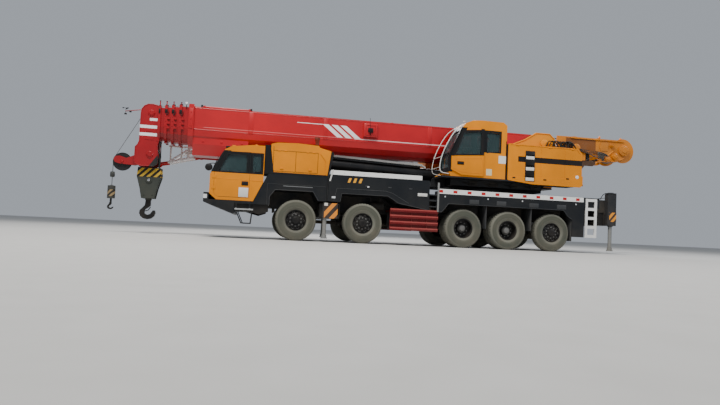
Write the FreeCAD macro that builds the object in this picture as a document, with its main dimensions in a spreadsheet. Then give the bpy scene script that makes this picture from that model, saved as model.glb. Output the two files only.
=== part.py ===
import FreeCAD, Part
import math
import os
import Sketcher

# Mobile crane on a five-axle truck carrier, in travel order with the boom lowered.
# Millimetres. +X is forward, +Y the driver's side, +Z up, the ground is at Z = 0.

os.makedirs("parts", exist_ok=True)
doc = FreeCAD.newDocument("MobileCrane")
V = FreeCAD.Vector

# Driving sizes: one row each, name then value.
SIZE_ROWS = [
    ("tyre_radius", 600), ("tyre_width", 315), ("rim_radius", 305), ("tyre_face_y", 1450),
    ("twin_pitch", 345), ("kingpin_y", 1080), ("axle_radius", 95), ("spindle_radius", 100),
    ("axle_one_x", 3060), ("axle_two_x", 1070), ("axle_three_x", -2100),
    ("axle_four_x", -3575), ("axle_five_x", -5065),
    ("seat_gap", 0.3), ("run_gap", 6),
    ("body_y", 1490), ("cab_inner_y", 560), ("cab_wall", 50), ("door_wall", 45),
    ("bumper_front_x", 5700), ("bumper_y", 1500),
    ("rail_y", 450), ("rail_wide", 130), ("rail_low_z", 950), ("rail_top_z", 1450),
    ("frame_rear_x", -7300), ("frame_front_x", 4340),
    ("deck_plate", 50), ("deck_rail_top", 1780),
    ("box_y", 1290), ("beam_wide", 265), ("box_wall", 18),
    ("front_box_x", 2372), ("front_beam_z", 745), ("front_beam_high", 370),
    ("rear_box_x", -6692), ("rear_beam_z", 940), ("rear_beam_high", 390),
    ("jack_y", 1395), ("jack_tube_radius", 88), ("jack_leg_radius", 60), ("jack_foot_z", 100),
    ("slew_x", -3100), ("ring_radius", 900), ("ring_top_z", 1800), ("table_low_z", 1900),
    ("upper_floor_z", 2150), ("upper_floor_plate", 50), ("upper_y", 1450), ("upper_inner_y", 560),
    ("hood_top_z", 3350), ("opcab_top_z", 4000),
    ("pivot_x", -5200), ("pivot_z", 3600), ("pivot_radius", 110),
    ("luff_base_x", -2300), ("luff_base_z", 2300), ("luff_eye_x", 3100), ("luff_eye_z", 2500),
    ("luff_barrel_radius", 200), ("luff_bore_radius", 165), ("luff_rod_radius", 110),
    ("boom_half", 450), ("boom_top_z", 3880), ("boom_low_z", 2720), ("boom_wall", 20),
    ("boom_step", 24), ("boom_post_top", 120), ("boom_tail_x", -5500), ("boom_front_x", 6200),
    ("cheek_y", 480), ("cheek_plate", 45),
    ("head_x", 7230), ("head_half", 250), ("head_plate", 40),
    ("head_sheave_x", 7440), ("head_sheave_z", 3600), ("block_axle_x", 7420),
    ("block_axle_z", 2350), ("sheave_radius", 240), ("tip_sheave_x", 8230),
    ("tip_sheave_z", 2120), ("tip_sheave_radius", 250), ("rope_radius", 12),
    ("main_winch_x", -6350), ("main_winch_z", 3520), ("rear_winch_x", -8180),
    ("rear_winch_z", 3560), ("drum_radius", 260), ("flange_radius", 420),
    ("jib_y", -870), ("jib_half", 240), ("jib_low_z", 2500), ("jib_high", 440),
    ("chord_radius", 38),
]
sheet = doc.addObject("Spreadsheet::Sheet", "Sizes")
for row, (word, value) in enumerate(SIZE_ROWS, start=1):
    sheet.set("A%d" % row, word)
    sheet.set("B%d" % row, str(value))
    sheet.setAlias("B%d" % row, word)
doc.recompute()


class Size:
    """A length that knows its value and the sheet expression it comes from."""

    def __init__(self, value, text):
        self.value = float(value)
        self.text = text

    def __float__(self):
        return self.value

    def __add__(self, other):
        return Size(self.value + float(other), "(%s + %s)" % (self.text, words(other)))

    def __radd__(self, other):
        return Size(float(other) + self.value, "(%s + %s)" % (words(other), self.text))

    def __sub__(self, other):
        return Size(self.value - float(other), "(%s - %s)" % (self.text, words(other)))

    def __rsub__(self, other):
        return Size(float(other) - self.value, "(%s - %s)" % (words(other), self.text))

    def __mul__(self, other):
        return Size(self.value * float(other), "(%s * %s)" % (self.text, words(other)))

    def __rmul__(self, other):
        return Size(float(other) * self.value, "(%s * %s)" % (words(other), self.text))

    def __truediv__(self, other):
        return Size(self.value / float(other), "(%s / %s)" % (self.text, words(other)))

    def __neg__(self):
        return Size(-self.value, "(0 - %s)" % self.text)


def words(number):
    if isinstance(number, Size):
        return number.text
    return "(%.6f)" % float(number)


class Sheet:
    pass


s = Sheet()
for word, value in SIZE_ROWS:
    setattr(s, word, Size(value, "Sizes.%s" % word))


def bind(obj, prop, number):
    if isinstance(number, Size):
        obj.setExpression(prop, number.text)


def role(body, name):
    return [o for o in body.Origin.OriginFeatures if o.Role == name][0]


def outline(body, plane, points, name):
    """A closed sketch through the given points, every corner tied down."""
    sk = body.newObject("Sketcher::SketchObject", name)
    sk.AttachmentSupport = (role(body, plane + "_Plane"), [""])
    sk.MapMode = "FlatFace"
    flat = [(float(a), float(b)) for a, b in points]
    count = len(flat)
    lines = []
    for i in range(count):
        a = flat[i]
        b = flat[(i + 1) % count]
        lines.append(Part.LineSegment(V(a[0], a[1], 0), V(b[0], b[1], 0)))
    sk.addGeometry(lines, False)
    ties = []
    for i in range(count):
        ties.append(Sketcher.Constraint("Coincident", i, 2, (i + 1) % count, 1))
    sk.addConstraint(ties)
    for i, (a, b) in enumerate(points):
        for kind, number in (("DistanceX", a), ("DistanceY", b)):
            if isinstance(number, Size):
                k = sk.addConstraint(Sketcher.Constraint(kind, -1, 1, i, 1, float(number)))
                sk.setExpression("Constraints[%d]" % k, number.text)
    return sk


def prism(name, plane, points, low, high):
    """A PartDesign body: an outline on XY, XZ or YZ padded from low to high."""
    body = doc.addObject("PartDesign::Body", name)
    sk = outline(body, plane, points, name + "_outline")
    pad = body.newObject("PartDesign::Pad", name + "_pad")
    pad.Profile = sk
    pad.Length = float(high) - float(low)
    if isinstance(low, Size) or isinstance(high, Size):
        pad.setExpression("Length", "%s - %s" % (words(high), words(low)))
    start = -high if plane == "XZ" else low
    sk.AttachmentOffset = FreeCAD.Placement(V(0, 0, float(start)), FreeCAD.Rotation())
    bind(sk, "AttachmentOffset.Base.z", start)
    sk.Visibility = False
    return body


def turned(name, points, axis="H_Axis", plane="YZ"):
    """A PartDesign body: a half outline turned about the first axis of its sketch."""
    body = doc.addObject("PartDesign::Body", name)
    sk = outline(body, plane, points, name + "_outline")
    rev = body.newObject("PartDesign::Revolution", name + "_turn")
    rev.Profile = sk
    rev.ReferenceAxis = (sk, [axis])
    rev.Angle = 360
    sk.Visibility = False
    return body


def move(obj, x, y, z, rotation=None):
    obj.Placement = FreeCAD.Placement(V(float(x), float(y), float(z)), rotation or FreeCAD.Rotation())
    bind(obj, "Placement.Base.x", x)
    bind(obj, "Placement.Base.y", y)
    bind(obj, "Placement.Base.z", z)
    return obj


def box(name, x0, x1, y0, y1, z0, z1):
    b = doc.addObject("Part::Box", name)
    for prop, a, c in (("Length", x0, x1), ("Width", y0, y1), ("Height", z0, z1)):
        setattr(b, prop, float(c) - float(a))
        if isinstance(a, Size) or isinstance(c, Size):
            b.setExpression(prop, "%s - %s" % (words(c), words(a)))
    return move(b, x0, y0, z0)


TURN = {"X": FreeCAD.Rotation(V(0, 1, 0), 90), "Y": FreeCAD.Rotation(V(1, 0, 0), -90),
        "Z": FreeCAD.Rotation()}


def cyl(name, axis, radius, x, y, z, length):
    """A cylinder whose base centre is at x, y, z and which runs along +axis."""
    c = doc.addObject("Part::Cylinder", name)
    c.Radius = float(radius)
    bind(c, "Radius", radius)
    c.Height = float(length)
    bind(c, "Height", length)
    return move(c, x, y, z, TURN[axis])


def bar(name, radius, p, q):
    """A round bar between two points."""
    c = doc.addObject("Part::Cylinder", name)
    c.Radius = float(radius)
    bind(c, "Radius", radius)
    a = V(*[float(n) for n in p])
    b = V(*[float(n) for n in q])
    c.Height = (b - a).Length
    c.Placement = FreeCAD.Placement(a, FreeCAD.Rotation(V(0, 0, 1), b - a))
    return c


def fuse(name, parts):
    f = doc.addObject("Part::MultiFuse", name)
    f.Shapes = parts
    f.Refine = False
    return f


def cut(name, base, tools):
    c = doc.addObject("Part::Cut", name)
    c.Base = base
    c.Tool = tools[0] if len(tools) == 1 else fuse(name + "_tools", tools)
    return c


def gather(name, parts):
    g = doc.addObject("Part::Compound", name)
    g.Links = parts
    return g


def offset(points, d):
    """The polygon moved outward by d (inward when negative), corners mitred."""
    p = [(float(a), float(b)) for a, b in points]
    area = sum(p[i][0] * p[(i + 1) % len(p)][1] - p[(i + 1) % len(p)][0] * p[i][1] for i in range(len(p)))
    sign = 1 if area > 0 else -1
    out = []
    for i in range(len(p)):
        a, b, c = p[i - 1], p[i], p[(i + 1) % len(p)]
        u = V(b[0] - a[0], b[1] - a[1], 0).normalize()
        w = V(c[0] - b[0], c[1] - b[1], 0).normalize()
        n1 = V(u.y, -u.x, 0) * sign
        n2 = V(w.y, -w.x, 0) * sign
        m = (n1 + n2).normalize()
        k = float(d) / max(0.35, m.dot(n1))
        out.append((b[0] + m.x * k, b[1] + m.y * k))
    return out


NODES = []


def node(obj, label):
    obj.Label = label
    NODES.append(obj)
    return obj


SIDES = (("left", 1), ("right", -1))


def span(side, a, b):
    """Y limits a..b on the left, mirrored on the right."""
    return (a, b) if side > 0 else (-b, -a)


# Wheels.
# Each tyre is turned about its own centre; the rim disc faces outward (+Y).
half = s.tyre_width / 2
TYRE = [(-half + 40, s.rim_radius), (-half + 12, s.rim_radius + 45), (-half, s.rim_radius + 120),
        (-half + 10, s.tyre_radius - 75), (-half + 4, s.tyre_radius - 62), (-half + 32, s.tyre_radius - 14),
        (-half + 75, s.tyre_radius - 2), (0, s.tyre_radius), (half - 75, s.tyre_radius - 2),
        (half - 32, s.tyre_radius - 14), (half - 4, s.tyre_radius - 62), (half - 10, s.tyre_radius - 75),
        (half, s.rim_radius + 120), (half - 12, s.rim_radius + 45), (half - 22, s.rim_radius + 38),
        (half - 40, s.rim_radius)]
lip = half - 40
RIM_SINGLE = [(-lip, s.rim_radius), (lip, s.rim_radius), (lip, s.rim_radius - 20),
              (60, s.rim_radius - 28), (72, 235), (95, 195), (95, 125), (138, 112), (150, 80),
              (150, 0), (40, 0), (40, s.rim_radius - 45), (-lip, s.rim_radius - 20)]
inner = -s.twin_pitch
RIM_TWIN = [(lip, s.rim_radius), (lip, s.rim_radius - 20), (-95, s.rim_radius - 32), (-108, 155),
            (-45, 140), (-35, 0), (-210, 0), (-210, 150), (-235, s.rim_radius - 32),
            (inner - lip, s.rim_radius - 20), (inner - lip, s.rim_radius), (inner + lip, s.rim_radius),
            (inner + lip, s.rim_radius - 15), (-lip, s.rim_radius - 15), (-lip, s.rim_radius)]
wheel_y = s.tyre_face_y - half

# Axles: number, X, twin tyres, steered.
AXLES = [("1", s.axle_one_x, False, True), ("2", s.axle_two_x, False, True),
         ("3", s.axle_three_x, True, False), ("4", s.axle_four_x, True, False),
         ("5", s.axle_five_x, False, True)]
FLIP = FreeCAD.Rotation(V(0, 0, 1), 180)
axle_solids = []
for number, ax, twin, steered in AXLES:
    for word, side in SIDES:
        tag = "%s_%s" % (number, word)
        spin = FreeCAD.Rotation() if side > 0 else FLIP
        tyre = [turned("tyre_body_" + tag, TYRE)]
        if twin:
            tyre.append(turned("tyre_inner_" + tag, TYRE))
            move(tyre[1], 0, inner, 0)
        tyres = gather("tyre_set_" + tag, tyre)
        move(tyres, ax, wheel_y * side, s.tyre_radius, spin)
        node(tyres, "tyre_" + tag)
        rim = turned("rim_body_" + tag, RIM_TWIN if twin else RIM_SINGLE)
        move(rim, ax, wheel_y * side, s.tyre_radius, spin)
        node(rim, "rim_" + tag)
        if steered:
            y0, y1 = span(side, s.kingpin_y - 50, s.kingpin_y + 50)
            hub = box("knuckle_block_" + tag, ax - 80, ax + 80, y0, y1, s.tyre_radius - 100,
                      s.tyre_radius + 100)
            z0 = s.tyre_radius
            start = s.kingpin_y if side > 0 else -(wheel_y + 40 - s.seat_gap)
            spindle = cyl("spindle_" + tag, "Y", s.spindle_radius, ax, start, z0,
                          wheel_y + 40 - s.seat_gap - s.kingpin_y)
            y0, y1 = span(side, s.kingpin_y - 50, s.kingpin_y - 5)
            arm = box("steer_arm_" + tag, ax - 260, ax - 60, y0, y1, s.tyre_radius - 60, s.tyre_radius - 20)
            reach_z = 100 + s.seat_gap + 55
            pin = cyl("kingpin_" + tag, "Z", 45, ax, s.kingpin_y * side, s.tyre_radius - reach_z, reach_z * 2)
            node(fuse("knuckle_set_" + tag, [hub, spindle, arm, pin]), "knuckle_" + tag)
    if steered:
        tube = cyl("axle_tube_" + number, "Y", s.axle_radius, ax, -(s.kingpin_y - 180), s.tyre_radius,
                   (s.kingpin_y - 180) * 2)
        bits = [tube]
        bores = [cyl("kingpin_bore_%s_%s" % (number, word), "Z", 45 + s.seat_gap, ax, s.kingpin_y * side,
                     s.tyre_radius - 200, 400) for word, side in SIDES]
        for word, side in SIDES:
            y0, y1 = span(side, s.kingpin_y - 195, s.kingpin_y + 50)
            up = s.tyre_radius + 100 + s.seat_gap
            low = s.tyre_radius - 100 - s.seat_gap
            bits.append(box("ear_up_%s_%s" % (number, word), ax - 70, ax + 70, y0, y1, up, up + 55))
            bits.append(box("ear_low_%s_%s" % (number, word), ax - 70, ax + 70, y0, y1, low - 55, low))
            y0, y1 = span(side, s.kingpin_y - 195, s.kingpin_y - 135)
            bits.append(box("yoke_%s_%s" % (number, word), ax - 70, ax + 70, y0, y1, low - 55, up + 55))
    else:
        reach = wheel_y - 210 - s.seat_gap
        tube = cyl("axle_tube_" + number, "Y", s.axle_radius, ax, -reach, s.tyre_radius, reach * 2)
        bits = [tube]
    case = cyl("axle_case_" + number, "X", 215, ax - 150, 0, s.tyre_radius, 300)
    bits.append(case)
    for word, side in SIDES:
        strut_y = s.rail_y - s.rail_wide / 2
        y0 = strut_y * side
        bits.append(cyl("strut_%s_%s" % (number, word), "Z", 55, ax, y0, s.tyre_radius,
                        s.rail_low_z - s.tyre_radius))
    whole = fuse("axle_" + number, bits)
    axle_solids.append(cut("axle_bored_" + number, whole, bores) if steered else whole)

# Engine, gearbox and shafts ride with the axles on the frame.
engine = box("engine_mass", 2700, 3700, -(s.rail_y - s.rail_wide), s.rail_y - s.rail_wide, 1000, 1780)
gearbox = box("gearbox_mass", 2400, 2705, -200, 200, 1050, 1450)
shafts = [cyl("shaft_a", "X", 55, s.axle_three_x + 150, 0, s.tyre_radius, 2870),
          cyl("shaft_b", "X", 55, s.axle_four_x + 150, 0, s.tyre_radius, 1175),
          cyl("shaft_c", "X", 55, s.axle_five_x + 150, 0, s.tyre_radius, 1190),
          cyl("shaft_d", "X", 55, s.axle_two_x + 150, 0, s.tyre_radius, 1690)]
power = fuse("power_set", [engine, gearbox])
node(gather("driveline_set", [fuse("axle_line", axle_solids + shafts), power]), "driveline")

# Carrier frame.
rail_in = s.rail_y - s.rail_wide
frame = []
for word, side in SIDES:
    y0, y1 = span(side, rail_in, s.rail_y)
    frame.append(box("rail_" + word, s.frame_rear_x, s.frame_front_x, y0, y1, s.rail_low_z, s.rail_top_z))
for k, x in enumerate((4200, 900, -700, -1500, -2900, -4300, -5700)):
    frame.append(box("cross_%d" % k, x - 60, x + 60, -rail_in - 5, rail_in + 5, s.rail_low_z + 60,
                     s.rail_top_z))
deck_half = s.cab_inner_y - s.seat_gap
frame.append(box("deck_mid", -1250, 2200, -deck_half, deck_half, s.rail_top_z, s.rail_top_z + s.deck_plate))
frame.append(cyl("slew_ring", "Z", s.ring_radius, s.slew_x, 0, s.rail_top_z + s.deck_plate,
                 s.ring_top_z - s.rail_top_z - s.deck_plate))
frame.append(box("ring_box", s.slew_x - 900, s.slew_x + 900, -s.rail_y, s.rail_y, s.rail_low_z,
                 s.rail_top_z + s.deck_plate))
tunnels = []
BOXES = [("front", s.front_box_x, s.front_beam_z, s.front_beam_high),
         ("rear", s.rear_box_x, s.rear_beam_z, s.rear_beam_high)]
cell = s.beam_wide + s.run_gap * 2
for word, x1, z0, high in BOXES:
    x0 = x1 - s.box_wall * 3 - cell * 2
    frame.append(box("outrigger_box_" + word, x0, x1, -s.box_y, s.box_y, z0 - s.seat_gap - s.box_wall,
                     z0 + high + s.run_gap + s.box_wall))
    for k in (0, 1):
        a = x0 + s.box_wall + (cell + s.box_wall) * k
        tunnels.append(box("tunnel_%s_%d" % (word, k), a, a + cell, -s.box_y - 10, s.box_y + 10,
                           z0 - s.seat_gap, z0 + high + s.run_gap))
frame.append(box("front_hanger", 1900, 2250, -s.rail_y, s.rail_y, 1120, s.rail_top_z))
frame.append(box("tail_deck", s.frame_rear_x, s.rear_box_x, -s.box_y, s.box_y, 1340, 1750))
node(cut("frame_set", fuse("frame_solid", frame), tunnels), "chassis_frame")

# Outriggers.
for word, x1, z0, high in BOXES:
    x0 = x1 - s.box_wall * 3 - cell * 2
    for wside, side in SIDES:
        tag = "%s_%s" % (word, wside)
        k = (1 if side > 0 else 0) if word == "front" else (0 if side > 0 else 1)
        a = x0 + s.box_wall + (cell + s.box_wall) * k + s.run_gap
        centre = a + s.beam_wide / 2
        y0, y1 = span(side, -s.box_y + 40, s.jack_y - s.jack_tube_radius + 30)
        beam = box("beam_bar_" + tag, a, a + s.beam_wide, y0, y1, z0, z0 + high)
        low = z0 - 45
        top = z0 + high + 50 if word == "front" else Size(2000, "2000")
        tube = cyl("jack_tube_" + tag, "Z", s.jack_tube_radius, centre, s.jack_y * side, low, top - low)
        y0, y1 = span(side, s.jack_y + 70, s.body_y)
        px = 1850 if word == "front" else centre - 156.5
        pw = 400 if word == "front" else 250
        pz = 700 if word == "front" else 1050
        plate = box("plate_" + tag, px, px + pw, y0, y1, pz, pz + (450 if word == "front" else 300))
        solids = [beam, tube, plate]
        if word == "rear":
            y0, y1 = span(side, s.box_y + 12, s.body_y - 3)
            solids.append(box("jack_case_" + tag, centre - 150, centre + 150, y0, y1, z0 - 20, top - 60))
        bore = cyl("jack_bore_" + tag, "Z", s.jack_leg_radius + 5, centre, s.jack_y * side, low - 1,
                   top - low - 24)
        node(cut("beam_set_" + tag, fuse("beam_solid_" + tag, solids), [bore]), "beam_" + tag)
        leg = cyl("leg_bar_" + tag, "Z", s.jack_leg_radius, centre, s.jack_y * side, s.jack_foot_z,
                  top - 25 - s.seat_gap - s.jack_foot_z)
        foot = cyl("leg_foot_" + tag, "Z", 100, centre, s.jack_y * side, s.jack_foot_z, 35)
        collar = cyl("leg_collar_" + tag, "Z", 80, centre, s.jack_y * side, s.jack_foot_z, 110)
        node(fuse("leg_set_" + tag, [leg, foot, collar]), "jack_" + tag)

# Bodywork of the carrier.
FRONT_HOUSING = [(4350, 1000), (4100, 1530), (3950, 1850), (3900, 1900), (2200, 1900), (2200, 1190),
                 (2450, 1190), (2600, 1450), (3700, 1450), (3850, 1250), (3850, 1000)]
MID_HOUSING = [(2160, 1200), (1800, 1200), (1750, 1450), (350, 1450), (0, 1250), (-900, 1100),
               (-950, 1110), (-950, 2000), (2160, 2000)]
NOSE = [(5600, 1000), (5600, 1270), (5540, 1600), (4380, 1600), (4380, 1000), (4850, 700), (5500, 950)]
work = []
nose_parts = []
for word, side in SIDES:
    y0, y1 = span(side, s.rail_y - 60, s.body_y)
    shelf = box("housing_shelf_" + word, 2210, 4040, y0, y1, s.rail_top_z + s.seat_gap, s.rail_top_z + 55)
    y0, y1 = span(side, s.cab_inner_y, s.body_y)
    front = prism("housing_front_" + word, "XZ", FRONT_HOUSING, y0, y1)
    mid = prism("housing_mid_" + word, "XZ", MID_HOUSING, y0, y1)
    y0, y1 = span(side, s.body_y - 20, s.body_y)
    board = box("edge_board_" + word, -700, 2100, y0, y1, 1990, 2130)
    nose_parts += [front, shelf]
    work.append(fuse("housing_m_" + word, [mid, board]))
tank_low, tank_top = 500, 1000 - s.seat_gap
tank_y = s.body_y - 80.3
work.append(fuse("fuel_tank", [box("fuel_tank_body", -1150, 150, 640, tank_y, tank_low + 30, tank_top),
                               box("fuel_tank_base", -1120, 120, 680, 1380, tank_low, tank_low + 40)]))
work.append(fuse("tool_chest", [box("tool_chest_body", -1150, 150, -tank_y, -640, tank_low + 30, tank_top),
                                box("tool_chest_base", -1120, 120, -1380, -680, tank_low, tank_low + 40)]))
nose = prism("nose_body", "XZ", [(5550, 1000), (5550, 1079.7), (4345, 1079.7), (4345, 1000)],
             -s.body_y, s.body_y)
bumper = prism("bumper_bar", "XZ",
               [(s.bumper_front_x, 1000), (s.bumper_front_x, 1270), (s.bumper_front_x - 140, 1270),
                (s.bumper_front_x - 140, 1075), (s.bumper_front_x - 870, 1075),
                (s.bumper_front_x - 870, 720), (s.bumper_front_x - 830, 700)],
               -s.bumper_y, s.bumper_y)
right_deck = prism("right_deck", "XZ", [(5540, 1075), (5540, 1560), (4345, 1560), (4345, 1075)],
                   -s.body_y, s.cab_inner_y - 20)
side_deck = box("side_deck", 4000, 4400, -s.body_y, -s.rail_y - 5, 1300, 1560)
lamps = []
for word, side in SIDES:
    y0, y1 = span(side, 1060, 1400)
    lamps.append(box("headlamp_" + word, s.bumper_front_x - 30, s.bumper_front_x, y0, y1, 1080, 1220))
work.append(fuse("nose_set", [nose, bumper, right_deck, side_deck] + lamps + nose_parts))

# Deck over the rear axles: plate, side rails, skirt panels behind the last wheels.
REAR_DECK = [(-s.body_y, s.rail_top_z), (s.body_y, s.rail_top_z), (s.body_y, s.deck_rail_top),
             (s.body_y - 50, s.deck_rail_top), (s.body_y - 50, s.rail_top_z + s.deck_plate),
             (-s.body_y + 50, s.rail_top_z + s.deck_plate), (-s.body_y + 50, s.deck_rail_top),
             (-s.body_y, s.deck_rail_top)]
deck = [prism("rear_deck_tray", "YZ", REAR_DECK, -6680, -1260)]
SKIRT = [(-1260, 1460), (-1260, 1050), (-1330, 1050), (-1560, 1330), (-5420, 1330), (-5600, 1120),
         (-5730, 1050), (-5730, 1460)]
for word, side in SIDES:
    y0, y1 = span(side, s.body_y - 90, s.body_y)
    deck.append(box("rear_panel_" + word, -6150, -5730, y0, y1, 500, 1460))
    y0, y1 = span(side, s.body_y - 40, s.body_y)
    deck.append(prism("rear_skirt_" + word, "XZ", SKIRT, y0, y1))
notches = []
for word, side in SIDES:
    y0, y1 = span(side, s.body_y - 45 - s.seat_gap, s.body_y + 10)
    notches.append(box("ladder_notch_" + word, -6610, -6190, y0, y1, s.rail_top_z - 10, s.deck_rail_top + 10))
hole = notches + [box("ring_clear", s.slew_x - 950, s.slew_x + 950, -950, 950, s.rail_top_z - 5,
            s.rail_top_z + s.deck_plate + 5)]
work.append(cut("rear_deck_set", fuse("rear_deck_solid", deck), hole))
node(gather("bodywork_set", work), "bodywork")

# Carrier cab.
CAB = [(4320, 1080), (5350, 1080), (5550, 1250), (5550, 1800), (5510, 1860), (5180, 2520), (5000, 2620),
       (4400, 2700), (4050, 2700), (4050, 1653)]
DOOR = [(4450, 1170), (5320, 1170), (5430, 1270), (5430, 1850), (5130, 2460), (4450, 2480)]
DOOR_PANE = [(4530, 1890), (5330, 1890), (5085, 2395), (4530, 2405)]
REAR_PANE = [(4125, 1940), (4385, 1900), (4385, 2420), (4125, 2430)]
shell = prism("cab_outer", "XZ", CAB, s.cab_inner_y, s.body_y)
hollow = prism("cab_hollow", "XZ", offset(CAB, -s.cab_wall), s.cab_inner_y + s.cab_wall, s.body_y - s.cab_wall)
door_way = prism("cab_door_way", "XZ", offset(DOOR, s.run_gap), s.body_y - s.cab_wall - 5, s.body_y + 5)
quarter = prism("cab_quarter", "XZ", REAR_PANE, s.body_y - s.cab_wall - 5, s.body_y + 5)
screen = prism("cab_screen", "YZ", [(s.cab_inner_y + 70, 1900), (s.body_y - 70, 1900),
                                    (s.body_y - 110, 2460), (s.cab_inner_y + 110, 2460)], 5100, 5600)
floor = box("cab_floor", 4330, 5350, s.cab_inner_y + 10, s.body_y - s.cab_wall, 1080, 1180)
node(fuse("cab_set", [cut("cab_shell", shell, [hollow, door_way, quarter, screen]), floor]), "carrier_cab")
door_out = prism("door_plate", "XZ", DOOR, s.body_y - s.door_wall, s.body_y)
door_cut = prism("door_pane_cut", "XZ", DOOR_PANE, s.body_y - s.cab_wall - 5, s.body_y + 5)
door_bits = [cut("door_leaf", door_out, [door_cut])]
for k, z in enumerate((1380, 1690)):
    door_bits.append(box("door_lug_%d" % k, 5380, 5427, s.body_y - 10, s.bumper_y, z, z + 80))
    door_bits.append(box("door_strap_%d" % k, 5380, 5480, s.body_y + s.seat_gap, s.bumper_y, z, z + 80))
    door_bits.append(cyl("door_knuckle_%d" % k, "Z", 4.85, 5480, s.body_y + 5.15, z, 80))
node(fuse("door_set", door_bits), "cab_door")
seat = fuse("cab_seat", [box("seat_base", 4350, 4850, 800, 1280, 1180.3, 1550),
                         box("seat_back", 4250, 4400, 800, 1280, 1500, 2250),
                         box("seat_head", 4270, 4370, 930, 1150, 2200, 2400)])
dash = fuse("cab_dash", [box("dash", 5150, 5370, 650, 1400, 1180.3, 1830),
                         cyl("wheel_post", "X", 30, 4950, 1040, 1780, 250),
                         cyl("steer_wheel", "X", 220, 4930, 1040, 1780, 35)])
node(gather("cab_seats", [seat, dash]), "cab_interior")
pane = 6
panes = [prism("pane_quarter", "XZ", offset(REAR_PANE, -0.3), s.body_y - 30, s.body_y - 30 + pane)]
screen_line = [(5492.0, 1895.0), (5210.3, 2458.4)]
SCREEN = [(screen_line[0][0], screen_line[0][1]), (screen_line[1][0], screen_line[1][1]),
          (screen_line[1][0] - 6, screen_line[1][1] - 3), (screen_line[0][0] - 6, screen_line[0][1] - 3)]
pane_front = prism("pane_front_slab", "XZ", SCREEN, s.cab_inner_y, s.body_y)
pane_fit = prism("pane_front_fit", "YZ", offset([(s.cab_inner_y + 70, 1900), (s.body_y - 70, 1900),
                                                 (s.body_y - 110, 2460), (s.cab_inner_y + 110, 2460)], -0.3),
                 5000, 5700)
common = doc.addObject("Part::Common", "pane_front")
common.Base = pane_front
common.Tool = pane_fit
panes.append(common)
node(gather("cab_panes", panes), "cab_glass")

# Engine cover behind the cab, with the exhaust pipe standing on it.
COVER = [(2170, 1900), (2170, 2400), (2330, 2650), (2500, 2820), (3100, 2850), (3700, 2830), (3880, 2780),
         (3880, 1900)]
cover = prism("cover_shell", "XZ", COVER, s.cab_inner_y, s.upper_y)
band = box("cab_back_band", 3880, 4050, s.cab_inner_y, s.upper_y, 1900, 2740)
pipe = turned("exhaust_pipe", [(0, 0), (75, 0), (75, 60), (52, 80), (52, 210), (70, 250), (70, 300), (0, 300)],
              "V_Axis", "XZ")
move(pipe, 2500, 1000, 2795)
sills = [box("cover_sill", 2165, 3900, s.upper_y - 20, s.upper_y + 15, 1900, 1950),
         prism("cover_edge_rear", "XZ", [(2165, 1900), (2165, 2405), (2325, 2660), (2400, 2620), (2245, 2380),
                                         (2245, 1900)], s.upper_y - 20, s.upper_y + 15)]
node(fuse("cover_set", [cover, band, pipe] + sills), "engine_cover")

# Steps, guards and ladders along both sides.
guards = []
for word, side in SIDES:
    y0, y1 = span(side, s.body_y - 80, s.body_y - 55)
    panel = box("guard_panel_" + word, -1250, 250, y0, y1, 460, 1090)
    ribs = []
    y0, y1 = span(side, s.body_y - 60, s.body_y)
    for k in range(4):
        ribs.append(box("guard_rib_%s_%d" % (word, k), -1250, 250, y0, y1, 450 + 185 * k, 545 + 185 * k))
    y0, y1 = span(side, s.rail_y, s.body_y - 65)
    hang = [box("guard_arm_%s_%d" % (word, k), x, x + 60, y0, y1, 1000, 1060)
            for k, x in enumerate((-1200, 100))]
    y0, y1 = span(side, s.body_y - 260, s.body_y)
    post = box("step_post_" + word, -1250, -1200, y0, y1, 1050, 1700)
    y0, y1 = span(side, s.body_y - 260, s.body_y - 10)
    steps = [box("step_%s_%d" % (word, k), -1230, -960, y0, y1, 1200 + 180 * k, 1235 + 180 * k)
             for k in range(3)]
    guards.append(fuse("guard_" + word, [panel, post] + ribs + hang + steps))
    bits = []
    y0, y1 = span(side, s.body_y - 45, s.body_y)
    for k, x in enumerate((-6600, -6275)):
        bits.append(box("ladder_side_%s_%d" % (word, k), x, x + 75, y0, y1, 500, 1750))
    for k in range(5):
        bits.append(box("ladder_rung_%s_%d" % (word, k), -6600, -6200, y0, y1, 500 + 290 * k, 590 + 290 * k))
    guards.append(fuse("ladder_" + word, bits))
    bits = []
    y0, y1 = span(side, s.body_y - 230, s.body_y)
    bits.append(box("stirrup_step_" + word, 4300, 4820, y0, y1, 820, 860))
    bits.append(box("stirrup_low_" + word, 4350, 4640, y0, y1, 430, 460))
    for k, (low, up) in enumerate((((4625, 445), (4800, 835)), ((4365, 445), (4330, 835)))):
        for y in (y0 + 15, y1 - 15):
            bits.append(bar("stirrup_leg_%s_%d_%d" % (word, k, int(float(y))), 14, (low[0], y, low[1]),
                            (up[0], y, up[1])))
    for k, x in enumerate((4380, 4760)):
        bits.append(box("stirrup_arm_%s_%d" % (word, k), x, x + 40, y0, y1, 830, 1000 - s.seat_gap))
    guards.append(fuse("stirrup_" + word, bits))
node(gather("guards_set", guards), "steps_and_guards")

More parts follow.
